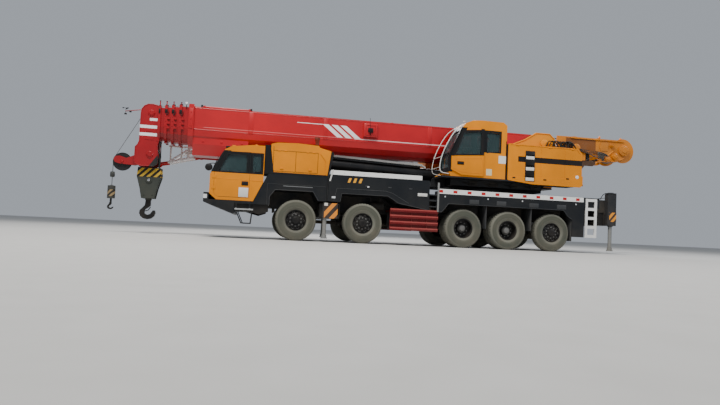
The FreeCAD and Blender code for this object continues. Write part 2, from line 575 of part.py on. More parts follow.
# Turning platform.
floor_top = s.upper_floor_z + s.upper_floor_plate
table = [cyl("table_ring", "Z", s.ring_radius, s.slew_x, 0, s.ring_top_z + s.seat_gap,
             s.table_low_z - s.ring_top_z - s.seat_gap),
         box("table_core", -5100, -1250, -600, 600, s.table_low_z, s.table_low_z + 140)]
CHEEK = [(-5100, 1950), (-5600, 2600), (-5600, 3780), (-5400, 3950), (-4900, 3950), (-4500, 3700),
         (-2300, 2750), (-1800, 2500), (-1300, 2150), (-1300, 1950)]
for word, side in SIDES:
    y0, y1 = span(side, s.cheek_y, s.cheek_y + s.cheek_plate)
    table.append(prism("cheek_" + word, "XZ", CHEEK, y0, y1))
    y0, y1 = span(side, s.cheek_y, s.upper_y)
    table.append(box("floor_" + word, -6100, -1350, y0, y1, s.upper_floor_z, floor_top))
    y0, y1 = span(side, s.cheek_y, 600)
    table.append(box("floor_web_" + word, -5100, -1350, y0, y1, s.table_low_z, floor_top))
    y0, y1 = span(side, 150, 200)
    table.append(prism("luff_lug_" + word, "XZ", [(-2600, 2030), (-2450, 2380), (-2150, 2380), (-2000, 2030)],
                       y0, y1))
    y0, y1 = span(side, 595, 1080)
    table.append(box("valve_case_" + word, -4850, -1750, y0, y1, 1950, s.upper_floor_z + 5))
pins = [cyl("pivot_pin", "Y", s.pivot_radius, s.pivot_x, -s.cheek_y - s.cheek_plate - 20, s.pivot_z,
            (s.cheek_y + s.cheek_plate + 20) * 2),
        cyl("luff_pin", "Y", 70, s.luff_base_x, -220, s.luff_base_z, 440)]
table_solid = fuse("table_solid", table + pins)
node(table_solid, "turntable")

# Side hoods over pumps and tanks, both sides.
HOOD = [(-6050, 2420), (-5960, 2320), (-5700, floor_top + 30), (-5200, floor_top), (-3450, floor_top),
        (-3450, s.hood_top_z - 30), (-3520, s.hood_top_z), (-5900, s.hood_top_z), (-6050, s.hood_top_z - 150)]
hood_in = s.cheek_y + s.cheek_plate + 45 + s.seat_gap
hoods = []
for word, side in SIDES:
    y0, y1 = span(side, hood_in, s.upper_y)
    body = prism("hood_" + word, "XZ", HOOD, y0, y1)
    y0, y1 = span(side, s.upper_y - 10, s.upper_y + 8)
    slots = [box("hood_vent_%s_%d" % (word, k), -4250 + 60 * k, -4220 + 60 * k, y0, y1, 2350, 3150)
             for k in range(4)]
    hoods.append(fuse("hood_set_" + word, [body] + slots))
locker = box("right_locker", -3430, -1400, -s.upper_y, -(s.cheek_y + s.cheek_plate), floor_top, 2900)
hoods.append(locker)
node(gather("hoods_set", hoods), "machinery_hood")

# Rear frame with two rope winches.
REAR = [(-5500, floor_top), (-6100, floor_top), (-6700, 2950), (-7000, 2950), (-7200, 3100), (-7900, 3150),
        (-8200, 3280), (-8310, 3450), (-8330, 3640), (-8250, 3830), (-8100, 3905), (-5650, 3905),
        (-5650, 3000)]
# Winch motors and bearing caps on the outside: X, Z, radius, how far out.
MOTORS = [(-8150, 3560, 185, 105), (-7800, 3330, 110, 130), (-7540, 3230, 90, 120), (-6350, 3520, 150, 90),
          (-7700, 3700, 70, 100)]
REAR_WINDOW = [(-7480, 3170), (-7480, 3400), (-7150, 3470), (-6720, 3470), (-6720, 3120), (-7150, 3120)]
REAR_SLOT = [(-6180, 2560), (-6180, 2760), (-5800, 2760), (-5800, 2560)]
rear = []
for word, side in SIDES:
    y0, y1 = span(side, s.cheek_y + s.cheek_plate + s.seat_gap, s.cheek_y + s.cheek_plate + 45)
    y2, y3 = span(side, s.cheek_y - 5, s.cheek_y + s.cheek_plate + 60)
    rear.append(cut("rear_plate_" + word, prism("rear_sheet_" + word, "XZ", REAR, y0, y1),
                    [prism("rear_window_" + word, "XZ", REAR_WINDOW, y2, y3),
                     prism("rear_slot_" + word, "XZ", REAR_SLOT, y2, y3)]))
    y0, y1 = span(side, s.cheek_y + s.cheek_plate + 20, s.cheek_y + s.cheek_plate + 75)
    rear.append(box("rear_flange_" + word, -8150, -6150, y0, y1, 3850, 3905))
    for k, (x, z, radius, out) in enumerate(MOTORS):
        y0, y1 = span(side, s.cheek_y + s.cheek_plate + 20, s.cheek_y + s.cheek_plate + out)
        rear.append(cyl("winch_motor_%s_%d" % (word, k), "Y", radius, x, y0, z, y1 - y0))
    rear.append(bar("rear_stay_%s_a" % word, 28, (-7450, (s.cheek_y + s.cheek_plate + 40) * side, 3250),
                    (-7820, (s.cheek_y + s.cheek_plate + 40) * side, 3560)))
for k, (x, z) in enumerate(((-6600, 3040), (-7200, 3880), (-7300, 3180), (-5800, 2300))):
    rear.append(cyl("rear_tie_%d" % k, "Y", 60, x, -s.cheek_y - s.cheek_plate - 10, z,
                    (s.cheek_y + s.cheek_plate + 10) * 2))
for k, (x, y) in enumerate(((-7250, 540), (-8050, 540), (-7700, -540))):
    rear.append(cyl("rear_lamp_post_%d" % k, "Z", 22, x, y, 3880, 100))
drums = []
for word, x, z in (("main", s.main_winch_x, s.main_winch_z), ("rear", s.rear_winch_x, s.rear_winch_z)):
    width = (s.cheek_y + s.cheek_plate) * 2
    core = cyl("drum_" + word, "Y", s.drum_radius, x, -width / 2, z, width)
    sides = [cyl("drum_flange_%s_%d" % (word, k), "Y", s.flange_radius, x, y, z, 30)
             for k, y in enumerate((-width / 2 + 30, width / 2 - 60))]
    drums.append(fuse("winch_" + word, [core] + sides))
node(gather("winch_set", [fuse("rear_set", rear)] + drums), "winch_frame")

# Operator's cab.
OPCAB = [(-3430, floor_top), (-1600, floor_top), (-1550, 2350), (-1550, 2900), (-1900, 3680), (-2050, 3880),
         (-2300, s.opcab_top_z - 20), (-2600, s.opcab_top_z), (-3300, s.opcab_top_z - 10), (-3430, 3900)]
OPDOOR_WAY = [(-2640, 2280), (-1960, 2280), (-1640, 2420), (-1640, 2880), (-1960, 3660), (-2640, 3700)]
OPDOOR_PANE = [(-2560, 2930), (-1740, 2880), (-1980, 3560), (-2560, 3640)]
OPREAR_PANE = [(-3200, 3050), (-2760, 2980), (-2760, 3650), (-3200, 3620)]
oy0 = s.upper_inner_y + 40
outer = prism("opcab_outer", "XZ", OPCAB, oy0, s.upper_y)
void = prism("opcab_hollow", "XZ", offset(OPCAB, -s.cab_wall), oy0 + s.cab_wall, s.upper_y - s.cab_wall)
way = prism("opcab_way", "XZ", OPDOOR_WAY, s.upper_y - s.cab_wall - 5, s.upper_y + 5)
rear_win = prism("opcab_rear_win", "XZ", OPREAR_PANE, oy0 - 5, s.upper_y + 5)
front_win = prism("opcab_front_win", "YZ", [(oy0 + 70, 2450), (s.upper_y - 70, 2450), (s.upper_y - 70, 3650),
                                            (oy0 + 70, 3650)], -2100, -1500)
in_win = prism("opcab_in_win", "XZ", OPDOOR_PANE, oy0 - 5, oy0 + s.cab_wall + 5)
node(cut("opcab_set", outer, [void, way, rear_win, front_win, in_win]), "operator_cab")
dplate = prism("opdoor_plate", "XZ", offset(OPDOOR_WAY, 25), s.upper_y + s.seat_gap, s.upper_y + 35)
dcut = prism("opdoor_cut", "XZ", OPDOOR_PANE, s.upper_y - 5, s.upper_y + 45)
node(cut("opdoor_set", dplate, [dcut]), "operator_door")
op_pane = [prism("pane_op_rear", "XZ", offset(OPREAR_PANE, -0.3), s.upper_y - 30, s.upper_y - 24),
           prism("pane_op_rear_in", "XZ", offset(OPREAR_PANE, -0.3), oy0 + 24, oy0 + 30),
           prism("pane_op_in", "XZ", offset(OPDOOR_PANE, -0.3), oy0 + 24, oy0 + 30),
           prism("pane_op_low", "XZ", [(-1572, 2450.3), (-1572, 2895), (-1578, 2895), (-1578, 2450.3)],
                 oy0 + 70.3, s.upper_y - 70.3),
           prism("pane_op_top", "XZ", [(-1579, 2900), (-1908, 3633), (-1914, 3630), (-1585, 2897)],
                 oy0 + 70.3, s.upper_y - 70.3)]
node(gather("op_panes", op_pane), "operator_glass")
op_floor = floor_top + s.cab_wall + s.seat_gap
op_seat = fuse("op_seat", [box("op_seat_base", -2800, -2300, 800, 1250, op_floor, 2750),
                           box("op_seat_back", -2950, -2780, 800, 1250, 2600, 3450),
                           box("op_console_a", -2700, -2250, 700, 790, op_floor, 2950),
                           box("op_console_b", -2700, -2250, 1260, 1340, op_floor, 2950),
                           box("op_console_tie", -2700, -2500, 780, 1270, 2450, 2500)])
node(op_seat, "operator_seat")

# Telescopic boom.
bh, bt, bl = s.boom_half, s.boom_top_z, s.boom_low_z
SECTION = [(bh, bt), (-bh, bt), (-bh, bl + 480), (-bh + 30, bl + 280), (-bh + 120, bl + 120),
           (-bh + 270, bl + 30), (-bh + 450, bl), (bh - 270, bl + 30), (bh - 120, bl + 120),
           (bh - 30, bl + 280), (bh, bl + 480)]


def tube_body(name, grow, wall, x0, x1):
    out = prism(name + "_out", "YZ", offset(SECTION, grow), x0, x1)
    hole_ = prism(name + "_in", "YZ", offset(SECTION, float(grow) - float(wall)), x0 - 5, x1 + 5)
    return cut(name + "_tube", out, [hole_])


base = [tube_body("base", 0, s.boom_wall, s.boom_tail_x + 900, s.boom_front_x),
        tube_body("base_collar", 60, float(s.boom_wall) + 60, s.boom_front_x - 5, s.boom_front_x + 150)]
TAIL = [(s.pivot_x - 250, 3480), (s.pivot_x - 180, 3820), (s.pivot_x, s.boom_top_z), (-4500, s.boom_top_z),
        (-4500, s.boom_low_z + 200), (s.pivot_x, 3320)]
tail = prism("boom_tail", "XZ", TAIL, -s.boom_half, s.boom_half)
tail_bore = cyl("boom_tail_bore", "Y", s.pivot_radius + s.seat_gap, s.pivot_x, -500, s.pivot_z, 1000)
base.append(cut("boom_tail_cut", tail, [tail_bore]))
for word, side in SIDES:
    y0, y1 = span(side, 165, 215)
    base.append(prism("eye_lug_" + word, "XZ", [(s.luff_eye_x - 500, 2765), (s.luff_eye_x - 120, 2400),
                                                (s.luff_eye_x + 120, 2400), (s.luff_eye_x + 500, 2765)],
                      y0, y1))
TROUGH = [(-330, 0), (330, 0), (400, 330), (400, 520), (-400, 520), (-400, 330)]
trough = prism("front_trough_solid", "YZ", [(y, s.boom_low_z - 290 + z) for y, z in TROUGH], 4550,
               s.boom_front_x)
slope = prism("front_trough_slope", "XZ", [(4500, s.boom_low_z - 300), (5200, s.boom_low_z - 300),
                                           (4500, s.boom_low_z + 10)], -500, 500)
keep_out = prism("front_trough_core", "YZ", offset(SECTION, -5), 4400, s.boom_front_x + 200)
base.append(cut("front_trough", trough, [slope, keep_out]))
base.append(cyl("eye_pin", "Y", 60, s.luff_eye_x, -230, s.luff_eye_z, 460))
base.append(box("boom_side_bracket", 550, 1000, s.boom_half - 5, s.boom_half + 60, 3350, 3800))
base.append(cyl("boom_top_pipe", "X", 30, 4550, 200, s.boom_top_z + 60, 1450))
base.append(box("boom_pipe_foot_a", 4550, 4600, 150, 250, s.boom_top_z - 5, s.boom_top_z + 95))
base.append(box("boom_pipe_foot_b", 5900, 5950, 150, 250, s.boom_top_z - 5, s.boom_top_z + 95))
for k, x in enumerate((-600, 1900, 4300, 5900)):
    jib_top = s.jib_low_z + s.jib_high + s.chord_radius + s.seat_gap
    base.append(box("jib_hanger_%d" % k, x, x + 60, s.jib_y - s.jib_half - 40, -s.boom_half - 20, jib_top,
                    jib_top + 90))
    base.append(box("jib_post_%d" % k, x, x + 60, -s.boom_half - 60, -s.boom_half + 10, jib_top, 3350))
node(fuse("boom_set", base), "boom_base")

# Inner sections: number, collar centre X.
COLLARS = [(1, 6590), (2, 6810), (3, 7010)]
for number, cx in COLLARS:
    g = -float(s.boom_wall) - 8 - (float(s.boom_step)) * (number - 1)
    x0 = -4450 + 120 * (number - 1)
    top = s.boom_top_z + g
    bits = [tube_body("section_%d" % number, g, 14, x0, cx),
            tube_body("section_collar_%d" % number, g + 45, 59, cx - 40, cx + 40),
            cyl("section_post_%d" % number, "Z", 16, cx, 330, top + 30,
                s.boom_top_z + s.boom_post_top - top - 30),
            box("section_pad_%d" % number, x0, x0 + 200, -120, 120, top - 5,
                top + (7.7 if number == 1 else 9.7))]
    node(fuse("section_set_%d" % number, bits), "boom_section_%d" % number)

# Last section with the boom head, its sheaves and the small tip arm.
g = -float(s.boom_wall) - 8 - float(s.boom_step) * 3
top = s.boom_top_z + g
HEAD = [(s.head_x - 70, 3790), (s.head_x + 40, 3860), (s.head_x + 180, 3890), (s.head_x + 320, 3880),
        (s.head_x + 430, 3820), (s.head_x + 500, 3720), (s.head_x + 520, 3600), (s.head_x + 520, 2760),
        (s.head_x + 560, 2640), (s.head_x + 625, 2560), (s.head_x + 625, 2120), (s.head_x + 560, 2030),
        (s.head_x + 440, 2000), (s.head_x + 60, 2000), (s.head_x - 40, 2100), (s.head_x - 50, 2250),
        (s.head_x - 20, 2620), (s.head_x - 70, 2900)]
bits = [tube_body("section_4", g, 14, -4090, s.head_x + 10),
        tube_body("section_collar_4", g + 45, 59, s.head_x - 70, s.head_x + 10),
        cyl("section_post_4", "Z", 16, s.head_x - 30, 330, top + 30, s.boom_top_z + s.boom_post_top - top - 30),
        box("section_pad_4", -4090, -3890, -120, 120, top - 5, top + 9.7),
        box("head_wall", s.head_x - 30, s.head_x + 20, -(s.head_half + 50), s.head_half + 50, 2780, 3800)]
for word, side in SIDES:
    y0, y1 = span(side, s.head_half, s.head_half + s.head_plate)
    bits.append(prism("head_plate_" + word, "XZ", HEAD, y0, y1))
    y0, y1 = span(side, 55, 85)
    ARM = [(s.head_x + 490, 2370), (s.head_x + 640, 2340), (s.tip_sheave_x - 120, 2230),
           (s.tip_sheave_x + 60, 2290), (s.tip_sheave_x + 200, 2270), (s.tip_sheave_x + 250, 2180),
           (s.tip_sheave_x + 200, 2090), (s.tip_sheave_x + 60, 2050), (s.head_x + 640, 2030),
           (s.head_x + 490, 2080)]
    bits.append(prism("tip_arm_" + word, "XZ", ARM, y0, y1))
inner_half = s.head_half + 10
outer_half = s.head_half + 60
bits.append(box("tip_arm_root", s.head_x + 540, s.head_x + 595, -inner_half, inner_half, 2200, 2330))
bits.append(cyl("head_axle", "Y", 60, s.head_sheave_x, -outer_half, s.head_sheave_z, outer_half * 2))
bits.append(cyl("block_axle", "Y", 60, s.block_axle_x, -outer_half, s.block_axle_z, outer_half * 2))
bits.append(cyl("tip_axle", "Y", 40, s.tip_sheave_x, -95, s.tip_sheave_z, 190))
bits.append(cyl("tip_sheave", "Y", s.tip_sheave_radius, s.tip_sheave_x, -22, s.tip_sheave_z, 44))
for k in range(5):
    y = -180 + 80 * k
    bits.append(cyl("head_sheave_%d" % k, "Y", s.sheave_radius, s.head_sheave_x, y, s.head_sheave_z, 40))
    bits.append(cyl("block_sheave_%d" % k, "Y", s.sheave_radius, s.block_axle_x, y, s.block_axle_z, 40))
bits.append(bar("wind_mast", 12, (s.head_x + 480, 270, 3690), (s.head_x + 950, 300, 3600)))
node(fuse("section_set_4", bits), "boom_head")

# Lattice jib stowed along the far side of the boom.
chords = []
jx0, jx1 = -1000, 6100
corners = [(a * s.jib_half, b) for b in (0, 1) for a in (-1, 1)]
for k, (dy, up) in enumerate(corners):
    chords.append(cyl("chord_%d" % k, "X", s.chord_radius, jx0, s.jib_y + dy, s.jib_low_z + s.jib_high * up,
                      jx1 - jx0))
bays = 9
for k in range(bays + 1):
    x = jx0 + 40 + (jx1 - jx0 - 80) * k / bays
    for a, b in ((0, 1), (1, 3), (3, 2), (2, 0)):
        p, q = corners[a], corners[b]
        chords.append(bar("jib_frame_%d_%d" % (k, a), 20,
                          (x, s.jib_y + p[0], s.jib_low_z + s.jib_high * p[1]),
                          (x, s.jib_y + q[0], s.jib_low_z + s.jib_high * q[1])))
    if k < bays:
        step = (jx1 - jx0 - 80) / bays
        for a, b in ((0, 2), (1, 3)):
            p, q = corners[a], corners[b]
            chords.append(bar("jib_lace_%d_%d" % (k, a), 18,
                              (x, s.jib_y + p[0], s.jib_low_z + s.jib_high * p[1]),
                              (x + step, s.jib_y + q[0], s.jib_low_z + s.jib_high * q[1])))
for k, a in enumerate((-1, 1)):
    y = s.jib_y + a * s.jib_half
    chords.append(bar("jib_drop_%d" % k, s.chord_radius, (jx1 - 10, y, s.jib_low_z), (7000, y, 2260)))
    chords.append(bar("jib_slope_%d" % k, 30, (jx1 - 10, y, s.jib_low_z + s.jib_high), (6980, y, 2285)))
    chords.append(bar("jib_brace_%d" % k, 22, (6450, y, s.jib_low_z - 95), (6420, y, s.jib_low_z + 225)))
chords.append(bar("jib_end_pin", 34, (6990, s.jib_y - s.jib_half - 60, 2262),
                  (6990, s.jib_y + s.jib_half + 60, 2262)))
node(fuse("jib_set", chords), "stowed_jib")

# Luffing cylinder.
dx = float(s.luff_eye_x) - float(s.luff_base_x)
dz = float(s.luff_eye_z) - float(s.luff_base_z)
reach = math.hypot(dx, dz)
tilt = FreeCAD.Rotation(V(0, 1, 0), -math.degrees(math.atan2(dz, dx)))
barrel_end = reach - 420
BARREL = [(330, 0), (330, s.luff_barrel_radius), (barrel_end, s.luff_barrel_radius),
          (barrel_end, s.luff_rod_radius + s.seat_gap), (barrel_end - 90, s.luff_rod_radius + s.seat_gap),
          (barrel_end - 90, s.luff_bore_radius), (400, s.luff_bore_radius), (400, 0)]
barrel = turned("barrel_tube", BARREL, "H_Axis", "XZ")
eye = cut("barrel_eye", fuse("barrel_eye_solid", [cyl("barrel_eye_round", "Y", 165, 0, -140, 0, 280),
                                                  box("barrel_eye_neck", 0, 340, -120, 120, -120, 120)]),
          [cyl("barrel_eye_bore", "Y", 70 + 0.3, 0, -200, 0, 400)])
barrel_set = fuse("barrel_set", [barrel, eye])
move(barrel_set, s.luff_base_x, 0, s.luff_base_z, tilt)
node(barrel_set, "luff_barrel")
rod = turned("rod_bar", [(430, 0), (430, s.luff_bore_radius - 5), (550, s.luff_bore_radius - 5),
                         (550, s.luff_rod_radius), (reach - 100, s.luff_rod_radius), (reach - 100, 0)],
             "H_Axis", "XZ")
rod_eye = cut("rod_eye", cyl("rod_eye_round", "Y", 150, reach, -150, 0, 300),
              [cyl("rod_eye_bore", "Y", 60 + 0.3, reach, -200, 0, 400)])
rod_cut = cut("rod_trim", rod, [cyl("rod_trim_bore", "Y", 60 + 0.3, reach, -200, 0, 400)])
rod_set = fuse("rod_set", [rod_cut, rod_eye])
move(rod_set, s.luff_base_x, 0, s.luff_base_z, tilt)
node(rod_set, "luff_rod")

# Hooks.
BLOCK = [(-330, 1980), (-350, 1700), (-250, 1350), (-190, 1050), (190, 1050), (250, 1350), (350, 1700),
         (330, 1980)]
hx = s.block_axle_x
block = []
for word, side in SIDES:
    y0, y1 = span(side, 120, 160)
    block.append(prism("block_cheek_" + word, "XZ", [(hx + a, z) for a, z in BLOCK], y0, y1))
block.append(cyl("block_pin", "Y", 55, hx, -170, 1600, 340))
for k in range(3):
    block.append(cyl("block_wheel_%d" % k, "Y", 230, hx, -105 + 80 * k, 1600, 50))
block.append(box("block_cross", hx - 160, hx + 160, -150, 150, 1080, 1250))
block.append(cyl("hook_shank", "Z", 55, hx, 0, 880, 220))
HOOK = [(-70, 1000), (70, 1000), (85, 850), (160, 760), (225, 690), (235, 600), (195, 510), (110, 445),
        (0, 425), (-110, 450), (-190, 520), (-225, 620), (-205, 700), (-150, 700), (-115, 640), (-75, 585),
        (0, 560), (75, 590), (100, 650), (70, 720), (0, 770), (-75, 840)]
block.append(prism("hook_bend", "XZ", [(hx + a, z) for a, z in HOOK], -55, 55))
fall_x = s.sheave_radius + s.rope_radius + s.seat_gap
for k, (turn, y) in enumerate(((-1, -80), (-1, 0), (-1, 80), (1, -80), (1, 0), (1, 80))):
    block.append(cyl("fall_%d" % k, "Z", s.rope_radius, hx + fall_x * turn, y, 1600, s.block_axle_z - 1600))
block.append(box("block_top", hx - 250, hx + 250, -130, 130, 1900, 1975))
node(fuse("block_set", block), "main_hook")
tx = s.tip_sheave_x + s.tip_sheave_radius + 9.3
ball = [cyl("ball_rope", "Z", 9, tx, 0, 1350, s.tip_sheave_z - 1350),
        cyl("ball_weight", "Z", 60, tx, 0, 1640, 160),
        cyl("ball_block", "Z", 110.7, tx, 0, 1000, 380),
        cyl("ball_shank", "Z", 30, tx, 0, 860, 150)]
SMALL = [(-30, 880), (30, 880), (45, 830), (85, 780), (90, 730), (60, 685), (0, 670), (-60, 690), (-90, 745),
         (-55, 750), (-35, 725), (0, 715), (35, 735), (40, 765), (10, 790), (-25, 830)]
ball.append(prism("ball_hook", "XZ", [(tx + a, z) for a, z in SMALL], -22, 22))
node(fuse("ball_set", ball), "small_hook")

# Checks and export.
doc.recompute()
bad = [o.Name for o in doc.Objects if "Invalid" in o.State or "Error" in o.State]
if bad:
    raise RuntimeError("objects that failed: " + ", ".join(bad[:20]))
for part in NODES:
    shape = part.Shape
    if shape.isNull() or not shape.isValid() or not shape.Solids:
        raise RuntimeError("bad shape: " + part.Label)
    shape.exportStep("parts/%s.step" % part.Label)
print(len(NODES), "pieces written")
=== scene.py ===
import bpy
import bmesh
import math
from mathutils import Vector, Matrix


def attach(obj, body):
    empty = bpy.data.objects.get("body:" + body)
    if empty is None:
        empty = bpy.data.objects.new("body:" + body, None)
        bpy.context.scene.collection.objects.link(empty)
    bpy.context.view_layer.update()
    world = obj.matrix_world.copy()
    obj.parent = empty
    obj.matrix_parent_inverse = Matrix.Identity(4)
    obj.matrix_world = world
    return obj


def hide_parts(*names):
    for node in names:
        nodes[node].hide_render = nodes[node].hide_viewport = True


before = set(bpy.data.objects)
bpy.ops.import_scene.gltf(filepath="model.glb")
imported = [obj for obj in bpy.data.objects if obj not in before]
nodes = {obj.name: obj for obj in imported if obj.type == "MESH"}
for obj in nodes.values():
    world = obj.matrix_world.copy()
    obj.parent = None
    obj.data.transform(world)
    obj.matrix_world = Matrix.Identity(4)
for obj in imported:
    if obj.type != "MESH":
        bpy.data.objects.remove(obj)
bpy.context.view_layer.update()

# Camera: low on the far side of the road, a little ahead of the middle, looking slightly up.
# Fitted to the wheels, the body lines and the ground of the photograph.
PHOTO_WIDTH, FOCAL_LENGTH = 720.0, 563.2  # in pixels
EYE = (4.29, 17.92, 0.4)
yaw, pitch, roll = math.radians(10.68), math.radians(2.8), math.radians(2.7)
look = Vector((-math.sin(yaw) * math.cos(pitch), -math.cos(yaw) * math.cos(pitch), math.sin(pitch)))
level = Vector((-math.cos(yaw), math.sin(yaw), 0.0))
lift = level.cross(look)
lift = -lift if lift.z < 0 else lift
right = math.cos(roll) * level + math.sin(roll) * lift
up = -math.sin(roll) * level + math.cos(roll) * lift
camera_data = bpy.data.cameras.new("roadside_camera")
camera_data.sensor_width = 36.0
camera_data.lens = FOCAL_LENGTH / PHOTO_WIDTH * 36.0
camera_data.clip_end = 400.0
camera = bpy.data.objects.new("roadside_camera", camera_data)
bpy.context.collection.objects.link(camera)
camera.matrix_world = Matrix.Translation(EYE) @ Matrix((right, up, -look)).transposed().to_4x4()
bpy.context.scene.camera = camera


# Studio: a wide pale floor, a soft even sky and large soft lamps on the viewer's side.
# The floor is one wide plane at the height of the ground under the tyres.
def feed(tree, node, inputs):
    """Fills a node's inputs: a socket is linked, anything else is a value."""
    for key, value in inputs.items():
        if isinstance(value, bpy.types.NodeSocket):
            tree.links.new(value, node.inputs[key])
        else:
            node.inputs[key].default_value = value


def add_node(tree, kind, inputs=None, **settings):
    """A new shader node with its settings and inputs."""
    node = tree.nodes.new("ShaderNode" + kind)
    for key, value in settings.items():
        setattr(node, key, value)
    feed(tree, node, inputs or {})
    return node


def add_ramp(tree, factor, low, high, start=0.0, end=1.0):
    """A colour between two, as a factor rises from start to end."""
    node = add_node(tree, "ValToRGB", {"Fac": factor})
    for stop, place, colour in zip(node.color_ramp.elements, (start, end), (low, high)):
        stop.position = place
        stop.color = list(colour) + [1]
    return node.outputs["Color"]


def new_material(name):
    """A material with its node tree and its shader."""
    material = bpy.data.materials.new(name)
    material.use_nodes = True
    return material, material.node_tree, material.node_tree.nodes["Principled BSDF"]


bpy.ops.object.select_all(action="DESELECT")
bpy.ops.mesh.primitive_plane_add(size=240, location=(0, 0, 0))
floor = bpy.context.object
floor.name = "pale_floor"
floor_paint, tree, shader = new_material("pale_floor_finish")
spot = add_node(tree, "TexCoord").outputs["Object"]
patch = add_node(tree, "TexNoise", {"Vector": spot, "Scale": 3.0}).outputs["Fac"]
feed(tree, shader, {"Base Color": add_ramp(tree, patch, (0.44, 0.435, 0.42), (0.5, 0.495, 0.48)),
                    "Roughness": 0.85})
floor.data.materials.append(floor_paint)

world = bpy.data.worlds.new("soft_sky")
bpy.context.scene.world = world
world.use_nodes = True
feed(world.node_tree, world.node_tree.nodes["Background"], {"Color": (0.8, 0.86, 0.95, 1), "Strength": 0.46})


def soft_lamp(name, place, aim, size, power, tint):
    """A large rectangular lamp aimed at a point."""
    lamp = bpy.data.lights.new(name, "AREA")
    lamp.shape = "RECTANGLE"
    lamp.size, lamp.size_y = size
    lamp.energy = power
    lamp.color = tint
    holder = bpy.data.objects.new(name, lamp)
    bpy.context.collection.objects.link(holder)
    way = Vector(aim) - Vector(place)
    holder.matrix_world = Matrix.Translation(place) @ way.to_track_quat("-Z", "Y").to_matrix().to_4x4()


soft_lamp("key_lamp", (7.0, 10.0, 21.0), (0, 0, 1.5), (13, 8), 7600, (1.0, 0.97, 0.92))
soft_lamp("fill_lamp", (-17.0, 6.0, 12.0), (-1, 0, 1.5), (10, 8), 1300, (0.93, 0.96, 1.0))
soft_lamp("back_lamp", (0.0, -16.0, 12.0), (0, 0, 2.0), (18, 8), 2200, (1.0, 1.0, 1.0))

# Road dust: a thin brown film that gathers low on the machine and in patches.
# One group puts out the tinted colour and the roughness for every painted finish.
dust_group = bpy.data.node_groups.new("road_dust", "ShaderNodeTree")
for label, kind, value in (("Paint", "Color", (0.5, 0.5, 0.5, 1)), ("Amount", "Float", 0.35),
                           ("Top", "Float", 2.2), ("Gloss", "Float", 0.35)):
    socket = dust_group.interface.new_socket(name=label, in_out="INPUT", socket_type="NodeSocket" + kind)
    socket.default_value = value
for label, kind in (("Color", "Color"), ("Roughness", "Float")):
    dust_group.interface.new_socket(name=label, in_out="OUTPUT", socket_type="NodeSocket" + kind)
given = dust_group.nodes.new("NodeGroupInput").outputs
place = add_node(dust_group, "TexCoord").outputs["Object"]
high = add_node(dust_group, "SeparateXYZ", {0: place}).outputs["Z"]
fall = add_node(dust_group, "MapRange", {"Value": high, "From Min": 0.3, "From Max": given["Top"],
                                         "To Min": 1.0, "To Max": 0.12}).outputs["Result"]
patch = add_node(dust_group, "TexNoise", {"Vector": place, "Scale": 1.7, "Detail": 8.0, "Roughness": 0.62})
patch = add_node(dust_group, "MapRange", {"Value": patch.outputs["Fac"], "From Min": 0.36, "From Max": 0.66})
film = add_node(dust_group, "Math", {0: fall, 1: patch.outputs["Result"]}, operation="MULTIPLY").outputs[0]
film = add_node(dust_group, "Math", {0: film, 1: given["Amount"]}, operation="MULTIPLY").outputs[0]
tint = add_node(dust_group, "Mix", {0: film, 6: given["Paint"], 7: (0.2, 0.165, 0.12, 1)}, data_type="RGBA")
dull = add_node(dust_group, "MapRange", {"Value": film, "To Min": given["Gloss"], "To Max": 0.9})
feed(dust_group, dust_group.nodes.new("NodeGroupOutput"),
     {"Color": tint.outputs[2], "Roughness": dull.outputs["Result"]})


def painted(name, paint, gloss=0.35, dust=0.35, top=2.2, shade=0.16, coat=0.0, metal=0.0, grain=60.0,
            bump=0.04, spec=0.22):
    """Sprayed paint: a little lighter and darker in patches, fine orange peel, dust low down."""
    material, tree, shader = new_material(name)
    spot = add_node(tree, "TexCoord").outputs["Object"]
    patch = add_node(tree, "TexNoise", {"Vector": spot, "Scale": 0.9, "Detail": 5.0}).outputs["Fac"]
    dark = [c * (1 - shade) for c in paint]
    light = [min(1.0, c * (1 + shade * 0.6)) for c in paint]
    tone = add_ramp(tree, patch, dark, light, 0.3, 0.7)
    film = tree.nodes.new("ShaderNodeGroup")
    film.node_tree = dust_group
    feed(tree, film, {"Paint": tone, "Amount": dust, "Top": top, "Gloss": gloss})
    peel = add_node(tree, "TexNoise", {"Vector": spot, "Scale": grain, "Detail": 3.0}).outputs["Fac"]
    rise = add_node(tree, "Bump", {"Height": peel, "Strength": bump, "Distance": 0.01}).outputs["Normal"]
    feed(tree, shader, {"Base Color": film.outputs["Color"], "Roughness": film.outputs["Roughness"],
                        "Normal": rise, "Specular IOR Level": spec, "Metallic": metal, "Coat Weight": coat,
                        "Coat Roughness": 0.12})
    return material


def wear(node, material):
    """The CAD node keeps its shape and takes the finish."""
    o = nodes[node]
    if not o.material_slots:
        o.data.materials.append(material)
    for place in o.material_slots:
        place.material = material


def wear_all(start, material):
    """Every CAD node whose name starts so takes the finish."""
    for name in nodes:
        if name.startswith(start):
            wear(name, material)


